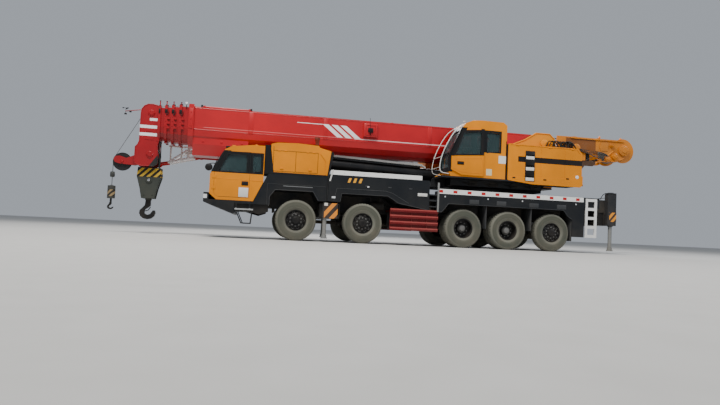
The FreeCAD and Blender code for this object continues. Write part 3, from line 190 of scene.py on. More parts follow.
# Marked finishes: stripes and two-colour areas are sprayed over the base paint through masks.
# Each zone is a box in the machine's own coordinates, with an optional slant and repeat.
def zone(tree, spot, x=None, y=None, z=None, out_y=None, slant=0.0, repeat=None):
    """A mask: limits in x, y and z, more than out_y from the middle; stripes of (pitch, width) along x."""
    split = add_node(tree, "SeparateXYZ", {0: spot}).outputs

    def maths(how, *values):
        return add_node(tree, "Math", dict(enumerate(values)), operation=how).outputs[0]

    along = maths("MULTIPLY_ADD", split["Z"], -slant, split["X"]) if slant else split["X"]
    tests = []
    for socket, limits in ((split["X"] if repeat else along, x), (split["Z"], z), (split["Y"], y)):
        if limits:
            tests += [maths("GREATER_THAN", socket, limits[0]), maths("LESS_THAN", socket, limits[1])]
    if out_y is not None:
        tests.append(maths("GREATER_THAN", maths("ABSOLUTE", split["Y"]), out_y))
    if repeat:
        tests.append(maths("LESS_THAN", maths("FLOORED_MODULO", along, repeat[0]), repeat[1]))
    mask = tests[0]
    for other in tests[1:]:
        mask = maths("MULTIPLY", mask, other)
    return mask


def sprayed(material, colour, **limits):
    """Adds one zone of another colour between the base tone and the dust film."""
    tree = material.node_tree
    film = [n for n in tree.nodes if n.type == "GROUP"][0]
    spot = [n for n in tree.nodes if n.type == "TEX_COORD"][0].outputs["Object"]
    under = film.inputs["Paint"].links[0].from_socket
    over = add_node(tree, "Mix", data_type="RGBA")
    feed(tree, over, {0: zone(tree, spot, **limits), 6: under, 7: list(colour) + [1]})
    tree.links.new(over.outputs[2], film.inputs["Paint"])


# Carrier frame: two deep rails, cross members, outrigger boxes and the slewing ring.
# Rolled and welded plate under black chassis enamel, thick with road dust.
frame_paint = painted("chassis_enamel", (0.022, 0.024, 0.028), gloss=0.45, dust=0.6, top=2.2)
wear("chassis_frame", frame_paint)
lamp_lens = painted("lamp_lens_clear", (0.7, 0.72, 0.74), gloss=0.12, dust=0.15, top=2.0, coat=0.5)
lamp_amber = painted("lamp_lens_amber", (0.75, 0.2, 0.01), gloss=0.15, dust=0.1, top=2.0, coat=0.5)
lamp_red = painted("lamp_lens_red", (0.45, 0.01, 0.01), gloss=0.15, dust=0.1, top=2.0, coat=0.5)
SIDES = (("left", 1), ("right", -1))
bench = []  # the shapes made since the last piece


def alone(o):
    """Only this object is selected and active."""
    bpy.ops.object.select_all(action="DESELECT")
    o.select_set(True)
    bpy.context.view_layer.objects.active = o
    return o


def laid(data):
    """A new object of this mesh or curve, laid on the bench."""
    o = bpy.data.objects.new("shape", data)
    bpy.context.collection.objects.link(o)
    bench.append(o)
    return alone(o)


def slab(low, high, edge=0.006, segments=2):
    """A folded or sawn block between two corners, with a radius on its edges."""
    bpy.ops.object.select_all(action="DESELECT")
    bpy.ops.mesh.primitive_cube_add(size=1, location=[(a + b) / 2 for a, b in zip(low, high)])
    o = bpy.context.object
    bench.append(o)
    o.scale = [abs(b - a) for a, b in zip(low, high)]
    bpy.ops.object.transform_apply(location=True, rotation=True, scale=True)
    if edge:
        m = o.modifiers.new("edge_radius", "BEVEL")
        m.width = edge
        m.segments = segments
        m.limit_method = "ANGLE"
        m.angle_limit = math.radians(32)
        bpy.ops.object.modifier_apply(modifier=m.name)
    return o


def spline(curve, kind, points, closed):
    """One line of points in a curve."""
    s = curve.splines.new(kind)
    s.points.add(len(points) - 1)
    for place, p in zip(s.points, points):
        place.co = (*p, 1)
    s.use_cyclic_u = closed
    return s


def pipe(points, radius, closed=False, smooth=False, sides=3):
    """Round bar, tube, hose or rope along a line of points."""
    line = bpy.data.curves.new("run", "CURVE")
    line.dimensions = "3D"
    s = spline(line, "NURBS" if smooth else "POLY", points, closed)
    if smooth:
        s.order_u = 3
        s.use_endpoint_u = not closed
        line.resolution_u = 6
    line.bevel_depth = radius
    line.bevel_resolution = sides
    line.use_fill_caps = True
    o = laid(line)
    bpy.ops.object.convert(target="MESH")
    return o


def bar(outline, y, radius, **ways):
    """Round bar along an (x, z) line, at a distance to the left of the middle."""
    return pipe([(x, y, z) for x, z in outline], radius, **ways)


def plate(outline, at, thick, holes=(), edge=0.003):
    """Flat upright plate cut to an (x, z) outline with holes, at a distance to the left of the middle."""
    flat = bpy.data.curves.new("cut", "CURVE")
    flat.dimensions = "2D"
    flat.fill_mode = "BOTH"
    for loop in [outline] + list(holes):
        spline(flat, "POLY", [(a, b, 0) for a, b in loop], True)
    flat.extrude = max(0.0002, thick / 2 - edge)
    flat.bevel_depth = edge
    flat.bevel_resolution = 1
    flat.offset = -edge
    o = laid(flat)
    bpy.ops.object.convert(target="MESH")
    o.data.transform(Matrix(((1, 0, 0, 0), (0, 0, -1, at), (0, 1, 0, 0), (0, 0, 0, 1))))
    return o


def lathe(outline, place, axis="Y", steps=48, closed=False):
    """An outline of (radius, height) points turned about an axis through a place."""
    mesh = bpy.data.meshes.new("turned")
    count = len(outline)
    edges = [(i, i + 1) for i in range(count - 1)] + ([(count - 1, 0)] if closed else [])
    mesh.from_pydata([(r, 0, h) for r, h in outline], edges, [])
    o = laid(mesh)
    m = o.modifiers.new("spin", "SCREW")
    m.axis = "Z"
    m.steps = m.render_steps = steps
    m.use_merge_vertices = True
    m.merge_threshold = 0.0004
    bpy.ops.object.modifier_apply(modifier=m.name)
    bpy.ops.object.mode_set(mode="EDIT")
    bpy.ops.mesh.select_all(action="SELECT")
    bpy.ops.mesh.remove_doubles(threshold=0.0004)
    bpy.ops.mesh.normals_make_consistent(inside=False)
    bpy.ops.object.mode_set(mode="OBJECT")
    turn = {"Y": Matrix.Rotation(math.radians(-90), 4, "X"), "X": Matrix.Rotation(math.radians(90), 4, "Y"),
            "Z": Matrix.Identity(4)}[axis]
    o.data.transform(Matrix.Translation(place) @ turn)
    return o


def bolt(place, top, foot, high, axis="Y", sides=6):
    """A bolt head or cap, flat on top and a little wider at its foot; a minus height turns it over."""
    return lathe([(0, high), (top, high), (foot, 0.0)], place, axis, sides)


def band(place, inner, outer, half, axis="X", steps=48):
    """A flat ring round a bar or tube."""
    return lathe([(inner, -half), (outer, -half), (outer, half), (inner, half)], place, axis, steps, True)


def around(count, radius, start=0.0):
    """The places on a bolt circle; the start is an angle in radians."""
    for k in range(count):
        t = math.radians(360 / count * k) + start
        yield radius * math.cos(t), radius * math.sin(t)


def united():
    """Takes the shapes off the bench and makes them one."""
    bpy.ops.object.select_all(action="DESELECT")
    for shape in bench:
        shape.select_set(True)
    o = bpy.context.view_layer.objects.active = bench[0]
    if len(bench) > 1:
        bpy.ops.object.join()
    bench.clear()
    return o


def fitted(name, material, body, smooth=35, place=None):
    """The shapes on the bench become one piece, moved to its place: finish, name and body."""
    o = alone(united())
    if place:
        o.data.transform(place)
    if smooth:
        bpy.ops.object.shade_smooth_by_angle(angle=math.radians(smooth))
    o.name = o.data.name = name
    o.data.materials.clear()
    o.data.materials.append(material)
    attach(o, body)
    return o


def again(o, place):
    """A copy of a shape or piece with a mesh of its own, put in another place on the bench."""
    c = o.copy()
    c.data = o.data.copy()
    bpy.context.collection.objects.link(c)
    c.data.transform(place)
    bench.append(c)
    return c


# Tail of the frame: lamp clusters with three lenses each, a towing jaw with its pin and stiffening ribs.
# Cast and folded steel bolted to the rear box.
for side in (1, -1):
    slab((-7.335, 0.72 * side, 1.4), (-7.298, 1.22 * side, 1.53), 0.01)
    for y in (0.3, 0.62):
        slab((-7.325, (y - 0.012) * side, 0.93), (-7.298, (y + 0.012) * side, 1.74), 0.003)
    for k in range(5):
        bolt((-7.3, (0.7 + 0.12 * k) * side, 0.98), 0.014, 0.017, -0.012, "X")
slab((-7.33, -0.17, 1.02), (-7.298, 0.17, 1.3), 0.01)
slab((-7.47, -0.075, 1.19), (-7.32, 0.075, 1.22), 0.008)
slab((-7.47, -0.075, 1.09), (-7.32, 0.075, 1.12), 0.008)
lathe([(0, 0.1), (0.02, 0.1), (0.03, 0.085), (0.02, 0.07), (0.02, -0.08), (0, -0.08)], (-7.43, 0, 1.16),
      "Z", 20)
for side in (1, -1):
    pipe([(-7.29, 1.24 * side, 1.72), (-7.29, 1.24 * side, 1.86), (-7.29, 0.5 * side, 1.86),
          (-7.29, 0.5 * side, 1.72)], 0.014)
fitted("tail_fittings", frame_paint, "carrier")
for word, material, y in (("red", lamp_red, 0.8), ("amber", lamp_amber, 0.97), ("white", lamp_lens, 1.14)):
    for side in (1, -1):
        slab((-7.345, (y - 0.07) * side, 1.415), (-7.33, (y + 0.07) * side, 1.515), 0.006, 3)
    fitted("tail_lamps_" + word, material, "carrier")

# Suspension: a leaf pack over each axle end, clamped by bolts and held by hangers under the rail.
# Two brake chambers stand on every axle. Oily spring steel and cast iron.
AXLE_X = {"1": 3.06, "2": 1.07, "3": -2.1, "4": -3.575, "5": -5.065}
SPRING_Y = 0.385
iron = painted("axle_iron", (0.035, 0.034, 0.033), gloss=0.6, dust=0.9, top=1.3, grain=25, bump=0.3)
wear("driveline", iron)
wear_all("knuckle", iron)
for ax in AXLE_X.values():
    for side in (1, -1):
        y = SPRING_Y * side
        widen = Matrix.Scale(5.0, 4, (0, 1, 0))
        widen.translation.y = y - 5.0 * y
        for k in range(6):
            half = 0.62 - 0.085 * k
            z = 0.86 - 0.017 * k
            drop = [(-half, 0.0), (-half / 2, -0.028), (0, -0.04), (half / 2, -0.028), (half, 0)]
            leaf = pipe([(ax + a, y, z + b) for a, b in drop], 0.008, smooth=True, sides=1)
            leaf.data.transform(widen)
        for dx in (-0.08, 0.08):
            pipe([(ax + dx, 0.335 * side, 0.9), (ax + dx, 0.335 * side, 0.66), (ax + dx, 0.435 * side, 0.66),
                  (ax + dx, 0.435 * side, 0.9)], 0.011)
        for dx in (-0.62, 0.62):
            slab((ax + dx - 0.03, 0.34 * side, 0.82), (ax + dx + 0.03, 0.43 * side, 0.97), 0.008)
        lathe([(0.0, -0.09), (0.06, -0.09), (0.078, -0.06), (0.078, -0.01), (0.088, 0.0), (0.078, 0.01),
               (0.07, 0.07), (0.03, 0.09), (0, 0.09)], (ax - 0.17, 0.6 * side, 0.74), "X", 24)
fitted("axle_springs_and_brakes", iron, "carrier")

# Air tanks and drive shaft joints under the frame: pressed steel bottles with domed ends, each on two straps,
# and forged joint flanges on the shaft line.
for x, y, z, long in ((-1.62, -0.62, 1.2, 0.5), (-1.62, 0.62, 1.2, 0.5), (0.55, 0.7, 1.18, 0.6)):
    lathe([(0, -long / 2), (0.07, -long / 2 + 0.012), (0.11, -long / 2 + 0.05), (0.115, -long / 2 + 0.1),
           (0.115, long / 2 - 0.1), (0.11, long / 2 - 0.05), (0.07, long / 2 - 0.012), (0, long / 2)],
          (x, y, z), "X", 32)
    for dx in (-long / 4, long / 4):
        band((x + dx, y, z), 0.1155, 0.121, 0.02, steps=32)
        slab((x + dx - 0.02, y - 0.02, z + 0.1), (x + dx + 0.02, y + 0.02, 1.46), 0.004)
for x in (-3.4, -1.8, -0.35, 0.6, 1.6):
    lathe([(0.054, -0.09), (0.085, -0.09), (0.09, -0.07), (0.09, -0.03), (0.06, -0.02), (0.06, 0.02),
           (0.09, 0.03), (0.09, 0.07), (0.085, 0.09), (0.054, 0.09)], (x, 0, 0.6), "X", 24)
fitted("air_tanks_and_joints", frame_paint, "carrier")

# Tyres: moulded rubber with a ribbed tread, lugs at the shoulder and a raised ring on the wall.
# The walls are bleached by dust; axles 3 and 4 carry two on each side.
rubber = painted("tyre_rubber", (0.138, 0.14, 0.115), gloss=0.85, dust=0.35, top=1.5, shade=0.3, grain=40,
                 bump=0.2)
sprayed(rubber, (0.078, 0.083, 0.066), out_y=1.444)
TYRE_WALL = [(0.306, -0.117), (0.35, -0.143), (0.372, -0.149), (0.376, -0.153), (0.386, -0.153),
             (0.39, -0.15), (0.425, -0.157), (0.47, -0.1555), (0.5, -0.152), (0.505, -0.156),
             (0.522, -0.1545), (0.526, -0.148), (0.545, -0.149), (0.575, -0.133), (0.588, -0.118),
             (0.596, -0.096), (0.5975, -0.06), (0.585, -0.057), (0.585, -0.048), (0.5985, -0.045),
             (0.5995, -0.008), (0.587, -0.006)]
TREAD_STEPS = 132
lathe(TYRE_WALL + [(r, -h) for r, h in reversed(TYRE_WALL)], (0, 0, 0), "Y", TREAD_STEPS, True)
tyre = united()
bpy.ops.object.mode_set(mode="EDIT")
bpy.ops.mesh.select_all(action="DESELECT")
cut = bmesh.from_edit_mesh(tyre.data)
for f in cut.faces:
    c = f.calc_center_median()
    r = math.hypot(c.x, c.z)
    step = int((math.degrees(math.atan2(c.z, c.x)) % 360) / 360 * TREAD_STEPS)
    edge_lug = abs(c.y) > 0.062 and r > 0.56 and step % 3 == 0
    mid_lug = 0.01 < abs(c.y) < 0.044 and r > 0.59 and (step + (2 if c.y > 0 else 0)) % 6 == 0
    f.select = edge_lug or mid_lug
bmesh.update_edit_mesh(tyre.data)
bpy.ops.mesh.inset(thickness=0.003, depth=-0.013)
bpy.ops.object.mode_set(mode="OBJECT")
alone(tyre)
bpy.ops.object.shade_smooth_by_angle(angle=math.radians(28))
tyre.data.materials.append(rubber)
WHEEL_Y, WHEEL_Z, TWIN_STEP = 1.2925, 0.6, 0.345
TWIN_AXLES = "34"
for number, ax in AXLE_X.items():
    for word, side in SIDES:
        place = "%s_%s" % (number, word)
        again(tyre, Matrix.Translation((ax, WHEEL_Y * side, WHEEL_Z)))
        if number in TWIN_AXLES:
            again(tyre, Matrix.Translation((ax, (WHEEL_Y - TWIN_STEP) * side, WHEEL_Z)))
        whole = united()
        whole.name = whole.data.name = "road_tyre_" + place
        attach(whole, "wheel_" + place)
        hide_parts("tyre_" + place)
bpy.data.objects.remove(tyre)

# Wheels: pressed discs with hand holes, ten studs with nuts on a bolt ring and a turned hub with its cover.
# Dark grey enamel under dust, bright only at the worn nuts.
rim_paint = painted("rim_grey_enamel", (0.01, 0.01, 0.011), gloss=0.4, dust=0.12, top=1.5)
hub_paint = painted("hub_grey_enamel", (0.17, 0.17, 0.165), gloss=0.36, dust=0.14, top=1.5, metal=0.3,
                    grain=40, bump=0.1)
sprayed(hub_paint, (0.012, 0.012, 0.013), y=(-1.46, 1.46), out_y=1.404)
wear_all("rim", rim_paint)
for z, x in around(10, 0.165):
    lathe([(0, 0.112), (0.012, 0.112), (0.013, 0.104), (0.0245, 0.1), (0.0265, 0.092), (0.0265, 0.07)],
          (x, 0, z), "Y", 6)
for z, x in around(10, 0.225, 0.31):
    lathe([(0.03, 0.076), (0.036, 0.079), (0.036, 0.072), (0.03, 0.07)], (x, 0.002, z), "Y", 16, True)
lathe([(0.0, 0.1505), (0.045, 0.1505), (0.055, 0.147), (0.078, 0.1465), (0.083, 0.14), (0.1, 0.137),
       (0.112, 0.128), (0.114, 0.115)], (0, 0, 0), "Y", 32)
for z, x in around(8, 0.066, math.radians(20)):
    lathe([(0, 0.1495), (0.006, 0.1495), (0.0065, 0.146)], (x, 0, z), "Y", 6)
hub = fitted("hub_pattern", hub_paint, "carrier", 30)
for z, x in around(10, 0.2):
    lathe([(0, -0.07), (0.012, -0.07), (0.013, -0.078), (0.0245, -0.082), (0.0265, -0.09),
           (0.0265, -0.112)], (x, 0, z), "Y", 6)
lathe([(0.0, 0.062), (0.05, 0.06), (0.085, 0.045), (0.1, 0.02), (0.118, 0.0), (0.13, -0.03),
       (0.137, -0.045)], (0, 0, 0), "Y", 32)
lathe([(0.272, 0.115), (0.303, 0.117), (0.305, 0.108), (0.28, 0.1), (0.274, 0.105)], (0, 0, 0), "Y", 64,
      True)
deep_hub = fitted("deep_hub_pattern", hub_paint, "carrier", 30)
FACING = {1: Matrix.Identity(4), -1: Matrix.Rotation(math.pi, 4, "Z")}
for number, ax in AXLE_X.items():
    for word, side in SIDES:
        place = "%s_%s" % (number, word)
        again(deep_hub if number in TWIN_AXLES else hub,
              Matrix.Translation((ax, WHEEL_Y * side, WHEEL_Z)) @ FACING[side])
        whole = united()
        whole.name = whole.data.name = "hub_and_nuts_" + place
        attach(whole, "wheel_" + place)
bpy.data.objects.remove(hub)
bpy.data.objects.remove(deep_hub)

# Outrigger beams: box beams that slide out of the frame, with a jack tube and a striped end plate.
# Black enamel; the plates carry slanting orange and white, or orange and black, reflective stripes.
beam_paint = painted("beam_enamel", (0.022, 0.024, 0.028), gloss=0.42, dust=0.28, top=2.2)
FRONT_END = dict(z=(0.69, 1.152), x=(1.84, 2.26), out_y=1.484)
REAR_END = dict(z=(1.049, 1.351), x=(-7.31, -6.7), out_y=1.4875)
sprayed(beam_paint, (0.8, 0.26, 0.02), **FRONT_END)
sprayed(beam_paint, (0.03, 0.02, 0.018), slant=-0.85, repeat=(0.3, 0.15), **FRONT_END)
sprayed(beam_paint, (0.75, 0.72, 0.66), z=(1.07, 1.152), x=(2.15, 2.26), out_y=1.484)
sprayed(beam_paint, (0.8, 0.3, 0.02), **REAR_END)
sprayed(beam_paint, (0.04, 0.03, 0.03), slant=-0.85, repeat=(0.2, 0.09), **REAR_END)
wear_all("beam", beam_paint)
jack_paint = painted("jack_grey_steel", (0.24, 0.245, 0.24), gloss=0.4, dust=0.4, top=1.3, metal=0.3)
wear_all("jack", jack_paint)
JACK_X = {"left": -7.1435, "right": -6.8485}
for word, side in SIDES:
    jack_x = JACK_X[word]
    slab((jack_x - 0.155, 1.3 * side, 1.945), (jack_x + 0.155, 1.49 * side, 1.985), 0.01)
    lathe([(0.0, 0.03), (0.05, 0.03), (0.075, 0.0), (0.078, -0.05)], (jack_x, 1.395 * side, 1.962), "Z", 24)
    for z in (1.42, 1.55, 1.8):
        bolt((jack_x - 0.09, 1.4865 * side, z), 0.018, 0.02, 0.006 * side, sides=12)
    for k in range(2):
        pipe([(jack_x + 0.06 + 0.03 * k, 1.34 * side, 1.97), (jack_x + 0.1, 1.25 * side, 1.99),
              (jack_x + 0.18, 1.18 * side, 1.9), (jack_x + 0.2, 1.15 * side, 1.78)], 0.012, smooth=True)
    fitted("rear_jack_fittings_" + word, beam_paint, "beam_rear_" + word)

# Bodywork of the carrier: folded sheet wings, housings, deck and bumper, near-black grey enamel.
# A white edge board, yellow slanted marks and a white and red reflective strip run along the side.
body_paint = painted("body_grey_paint", (0.01, 0.012, 0.015), gloss=0.42, dust=0.11, top=2.0, coat=0.04)
sprayed(body_paint, (0.8, 0.8, 0.78), x=(-0.71, 2.11), z=(2.0, 2.14), out_y=1.465)
sprayed(body_paint, (0.78, 0.78, 0.76), x=(-6.12, -1.26), z=(1.63, 1.775), out_y=1.4895)
sprayed(body_paint, (0.45, 0.015, 0.015), x=(-6.12, -1.26), z=(1.66, 1.745), out_y=1.4895, slant=0.0001,
        repeat=(0.46, 0.13))
sprayed(body_paint, (0.78, 0.36, 0.03), x=(1.13, 1.6), z=(1.79, 1.925), out_y=1.4895, slant=-0.35,
        repeat=(0.165, 0.075))
sprayed(body_paint, (0.16, 0.165, 0.17), x=(2.62, 3.48), z=(1.565, 1.585), out_y=1.47)
sprayed(body_paint, (0.66, 0.68, 0.7), x=(5.6, 5.72), z=(1.1, 1.215), out_y=1.46)
wear("bodywork", body_paint)
lip_paint = painted("edge_grey_paint", (0.045, 0.048, 0.052), gloss=0.36, dust=0.2, top=2.0)
sprayed(lip_paint, (0.62, 0.62, 0.6), z=(2.0, 2.14), out_y=1.47)
trim_black = painted("trim_black", (0.008, 0.008, 0.009), gloss=0.5, dust=0.2, top=2.0, grain=120, bump=0.1)
plate_white = painted("blank_plate_white", (0.72, 0.72, 0.69), gloss=0.4, dust=0.3, top=3.0)
for word, side in SIDES:
    y = 1.4885 * side
    bar([(2.44, 1.2), (2.6, 1.455), (3.7, 1.455), (3.855, 1.25), (3.855, 1.01)], y, 0.01)
    bar([(1.79, 1.21), (1.745, 1.455), (0.35, 1.455), (0.0, 1.255), (-0.9, 1.105)], y, 0.009)
    bar([(1.98, 1.21), (1.9, 1.6), (0.42, 1.6), (0.2, 1.545), (-0.3, 1.27)], y, 0.008)
    bar([(3.93, 1.02), (3.93, 1.62), (2.23, 1.62)], y, 0.005)
    bar([(2.18, 1.2), (2.18, 1.99)], y, 0.007)
    bar([(-1.27, 1.07), (-1.36, 1.07), (-1.57, 1.335), (-5.42, 1.335), (-5.6, 1.125), (-5.73, 1.06)], y,
        0.009)
    for x in (-0.66, -0.1, 0.5, 1.1, 1.7, 2.05):
        lathe([(0, 0.01 * side), (0.011, 0.009 * side), (0.016, 0.0)], (x, 1.4875 * side, 2.065), "Y", 10)
    for x in (-0.35, 0.3, 1.0):
        slab((x - 0.05, 1.478 * side, 1.7), (x + 0.05, 1.4965 * side, 1.73), 0.004)
    for x in (-2.4, -3.3, -4.4, -5.35):
        slab((x - 0.16, 1.4 * side, 1.36), (x + 0.16, 1.4975 * side, 1.5), 0.012)
    for x in (-1.45, -2.85, -4.0, -5.85):
        lathe([(0.034, 0.0), (0.034, 0.008 * side), (0.026, 0.01 * side)], (x, 1.489 * side, 1.545), "Y", 20)
    for x in (-2.82, -4.33):
        slab((x - 0.012, 0.8 * side, 0.62), (x + 0.012, 1.46 * side, 1.34), 0.006)
    slab((-5.745, 0.78 * side, 0.36), (-5.72, 1.46 * side, 1.36), 0.006)
    fitted("body_edges_" + word, lip_paint, "carrier")
    for x in (-1.45, -2.85, -4.0, -5.85):
        lathe([(0, 0.0095 * side), (0.02, 0.009 * side), (0.027, 0.0)], (x, 1.4895 * side, 1.545), "Y", 20)
    slab((1.935, 1.485 * side, 1.295), (2.045, 1.4985 * side, 1.355), 0.008)
    slab((0.93, 1.485 * side, 1.675), (0.99, 1.4985 * side, 1.715), 0.008)
    fitted("side_lamps_" + word, lamp_lens, "carrier")
for side in (1, -1):
    plate([(2.06, 2.14), (2.015, 2.14), (2.1, 1.8), (2.145, 1.8)], 1.49 * side, 0.012)
fitted("white_strip_ends", plate_white, "carrier")
slab((-0.88, 1.486, 1.51), (-0.58, 1.497, 1.6), 0.004)
fitted("blank_side_plate", plate_white, "carrier")

# Decks and lids: raised tread bars on the walkways, hinged lids with grab handles on the housings.
# Chequered and folded plate in the same enamel, worn where people step.
slab((-0.028, -0.006, 0.0), (0.028, 0.006, 0.006), 0.002, 1)
tread = united()
STEP_X, STEP_Y = 0.14, 0.11
for x0, x1, y0, y1, z in ((-6.5, -4.3, -1.36, -1.0, 1.4995), (-6.5, -4.3, 1.02, 1.4, 1.4995),
                          (-6.6, -4.3, -0.3, 0.4, 1.4995), (-1.1, 2.1, -0.5, 0.5, 1.4995),
                          (4.45, 5.5, -1.4, 0.45, 1.5595)):
    for i in range(int((x1 - x0) / STEP_X)):
        for j in range(int((y1 - y0) / STEP_Y)):
            lean = Matrix.Rotation(math.radians(45 if (i + j) % 2 else -45), 4, "Z")
            middle = (x0 + STEP_X * i + 0.07, y0 + STEP_Y * j + 0.055, z)
            again(tread, Matrix.Translation(middle) @ lean)
fitted("deck_treads", body_paint, "carrier", 0)
bpy.data.objects.remove(tread)
for side in (1, -1):
    for x0, x1, z in ((0.95, 1.95, 2.0), (-0.15, 0.8, 2.0), (2.35, 3.75, 1.9)):
        if z < 2.0 and side > 0:
            continue  # the low lid is on the right only; the engine cover stands there on the left
        slab((x0, 0.7 * side, z - 0.004), (x1, 1.38 * side, z + 0.018), 0.006)
        for x in (x0 + 0.15, x1 - 0.15):
            bar([(x - 0.05, z + 0.018), (x + 0.05, z + 0.018)], 0.7 * side, 0.012)
            bar([(x - 0.06, z + 0.015), (x - 0.06, z + 0.035), (x + 0.06, z + 0.035), (x + 0.06, z + 0.015)],
                1.3 * side, 0.007)
for x0, x1, y0, y1 in ((4.5, 5.4, -1.38, -0.75), (4.5, 5.4, -0.6, 0.3)):
    slab((x0, y0, 1.558), (x1, y1, 1.574), 0.006)
fitted("housing_lids", body_paint, "carrier")

# Bumper: pressed steel with a barred opening, lamps in square rings and dark skirts down to the step.
# Bars and rings are moulded black plastic, the lenses clear.
for k in range(5):
    slab((5.695, -0.62, 1.045 + 0.04 * k), (5.706, 0.62, 1.063 + 0.04 * k), 0.004)
for side in (1, -1):
    lathe([(0.075, 0.0), (0.075, 0.01), (0.055, 0.012)], (5.699, 0.86 * side, 1.13), "X", 28)
    pipe([(5.699, 1.055 * side, 1.075), (5.699, 1.405 * side, 1.075), (5.699, 1.405 * side, 1.225),
          (5.699, 1.055 * side, 1.225)], 0.009, closed=True)
    plate([(4.88, 1.0), (3.87, 1.0), (3.87, 0.8), (4.12, 0.71), (4.66, 0.85), (4.88, 0.85)], 1.425 * side,
          0.02)
    slab((3.9, 0.62 * side, 0.84), (4.9, 1.43 * side, 0.99), 0.02)
slab((4.6, 1.488, 1.045), (5.55, 1.4985, 1.076), 0.004)
slab((4.6, -1.4985, 1.045), (5.55, -1.488, 1.076), 0.004)
fitted("bumper_grille", trim_black, "carrier")
for side in (1, -1):
    slab((5.665, 1.06 * side, 1.082), (5.707, 1.4 * side, 1.218), 0.02, 3)
    slab((5.6, 1.4 * side, 1.09), (5.7, 1.4975 * side, 1.21), 0.02, 3)
    lathe([(0, 0.016), (0.045, 0.013), (0.056, 0.004)], (5.699, 0.86 * side, 1.13), "X", 28)
fitted("headlamp_lenses", lamp_lens, "carrier")

# Driver's cab: pressed steel shell and door in warm yellow, black round the windows.
# Rubber gaskets, a flush handle, wipers, a round mirror on an arm and a blank plate are fixed to it.
YELLOW = (0.72, 0.235, 0.0003)
BLACK = (0.008, 0.009, 0.01)
cab_paint = painted("cab_yellow_paint", YELLOW, gloss=0.4, dust=0.05, top=2.2, coat=0.05)
sprayed(cab_paint, BLACK, x=(4.07, 4.46), z=(1.86, 2.46), out_y=1.44)
sprayed(cab_paint, BLACK, x=(5.0, 5.6), z=(1.86, 2.5), y=(0.5, 1.6))
sprayed(cab_paint, (0.15, 0.155, 0.16), x=(4.08, 5.3), y=(0.6, 1.45), z=(1.0, 2.6))
wear("carrier_cab", cab_paint)
door_paint = painted("cab_door_paint", YELLOW, gloss=0.4, dust=0.05, top=2.2, coat=0.05)
sprayed(door_paint, BLACK, z=(1.86, 2.5))
wear("cab_door", door_paint)
bar([(4.135, 1.945), (4.38, 1.908), (4.38, 2.412), (4.135, 2.42)], 1.4885, 0.01, closed=True)
pipe([(5.515, 0.64, 1.892), (5.515, 1.41, 1.892), (5.222, 1.37, 2.464), (5.222, 0.68, 2.464)], 0.012,
     closed=True)
for y in (0.74, 1.06):
    pipe([(5.565, y, 1.85), (5.545, y + 0.03, 1.9), (5.4, y + 0.24, 2.19)], 0.007)
    pipe([(5.5, y + 0.05, 2.02), (5.345, y + 0.3, 2.33)], 0.006)
pipe([(5.4, 1.455, 2.1), (5.52, 1.44, 2.12), (5.6, 1.43, 2.08)], 0.012, smooth=True)
lathe([(0, 0.038), (0.075, 0.032), (0.098, 0.018), (0.105, -0.002), (0.095, -0.02), (0, -0.022)],
      (5.6, 1.445, 1.99), "Y", 32)
pipe([(4.07, 1.4885, 2.47), (5.02, 1.4885, 2.47), (5.2, 1.47, 2.44)], 0.008)
slab((5.03, 0.62, 2.585), (5.16, 1.42, 2.635), 0.02)
fitted("cab_seals_and_mirror", trim_black, "carrier")
bar(((4.54, 1.9), (5.318, 1.9), (5.078, 2.386), (4.54, 2.395)), 1.4885, 0.01, closed=True)
slab((4.475, 1.478, 1.515), (4.665, 1.494, 1.64), 0.009, 3)
slab((4.5, 1.485, 1.57), (4.64, 1.4985, 1.6), 0.005)
bar([(4.66, 1.17), (5.3, 1.17)], 1.487, 0.006)
fitted("door_seal_and_handle", trim_black, "cab_door")
slab((4.465, 1.487, 1.185), (4.735, 1.4955, 1.455), 0.003)
fitted("door_blank_plate", plate_white, "cab_door")
for y in (0.7, 1.35):
    slab((4.88, y - 0.05, 2.625), (4.99, y + 0.05, 2.675), 0.012)
lathe([(0, 0.075), (0.035, 0.07), (0.05, 0.045), (0.052, 0.0), (0.06, -0.008)], (4.3, 1.02, 2.71), "Z", 24)
fitted("cab_roof_lamps", lamp_amber, "carrier")
for y in (0.75, 0.95, 1.15, 1.32):
    slab((4.12, y - 0.03, 2.695), (4.4, y + 0.03, 2.712), 0.006)
slab((4.055, 1.475, 1.665), (4.445, 1.4965, 1.68), 0.004)
bar([(4.38, 1.1), (4.38, 1.84)], 1.4885, 0.0045)
fitted("cab_ribs", cab_paint, "carrier")
slab((4.48, 1.48, 1.672), (5.46, 1.4935, 1.688), 0.004)
slab((5.385, 1.48, 1.13), (5.4, 1.492, 1.83), 0.004)
slab((5.16, 1.48, 1.7), (5.175, 1.492, 1.84), 0.004)
slab((4.75, 1.48, 1.13), (4.762, 1.491, 1.66), 0.004)
fitted("cab_door_beads", door_paint, "cab_door")

# Seats and cab fittings: stitched cloth cushions over foam, moulded plastic dash, a steering wheel.
# The operator's seat has two arm consoles with a short lever on each.
cloth = painted("seat_cloth", (0.03, 0.031, 0.036), gloss=0.9, dust=0.1, top=2.0, grain=300, bump=0.35)
plastic = painted("fitting_plastic", (0.02, 0.02, 0.022), gloss=0.6, dust=0.05, top=1.0, grain=180,
                  bump=0.15)


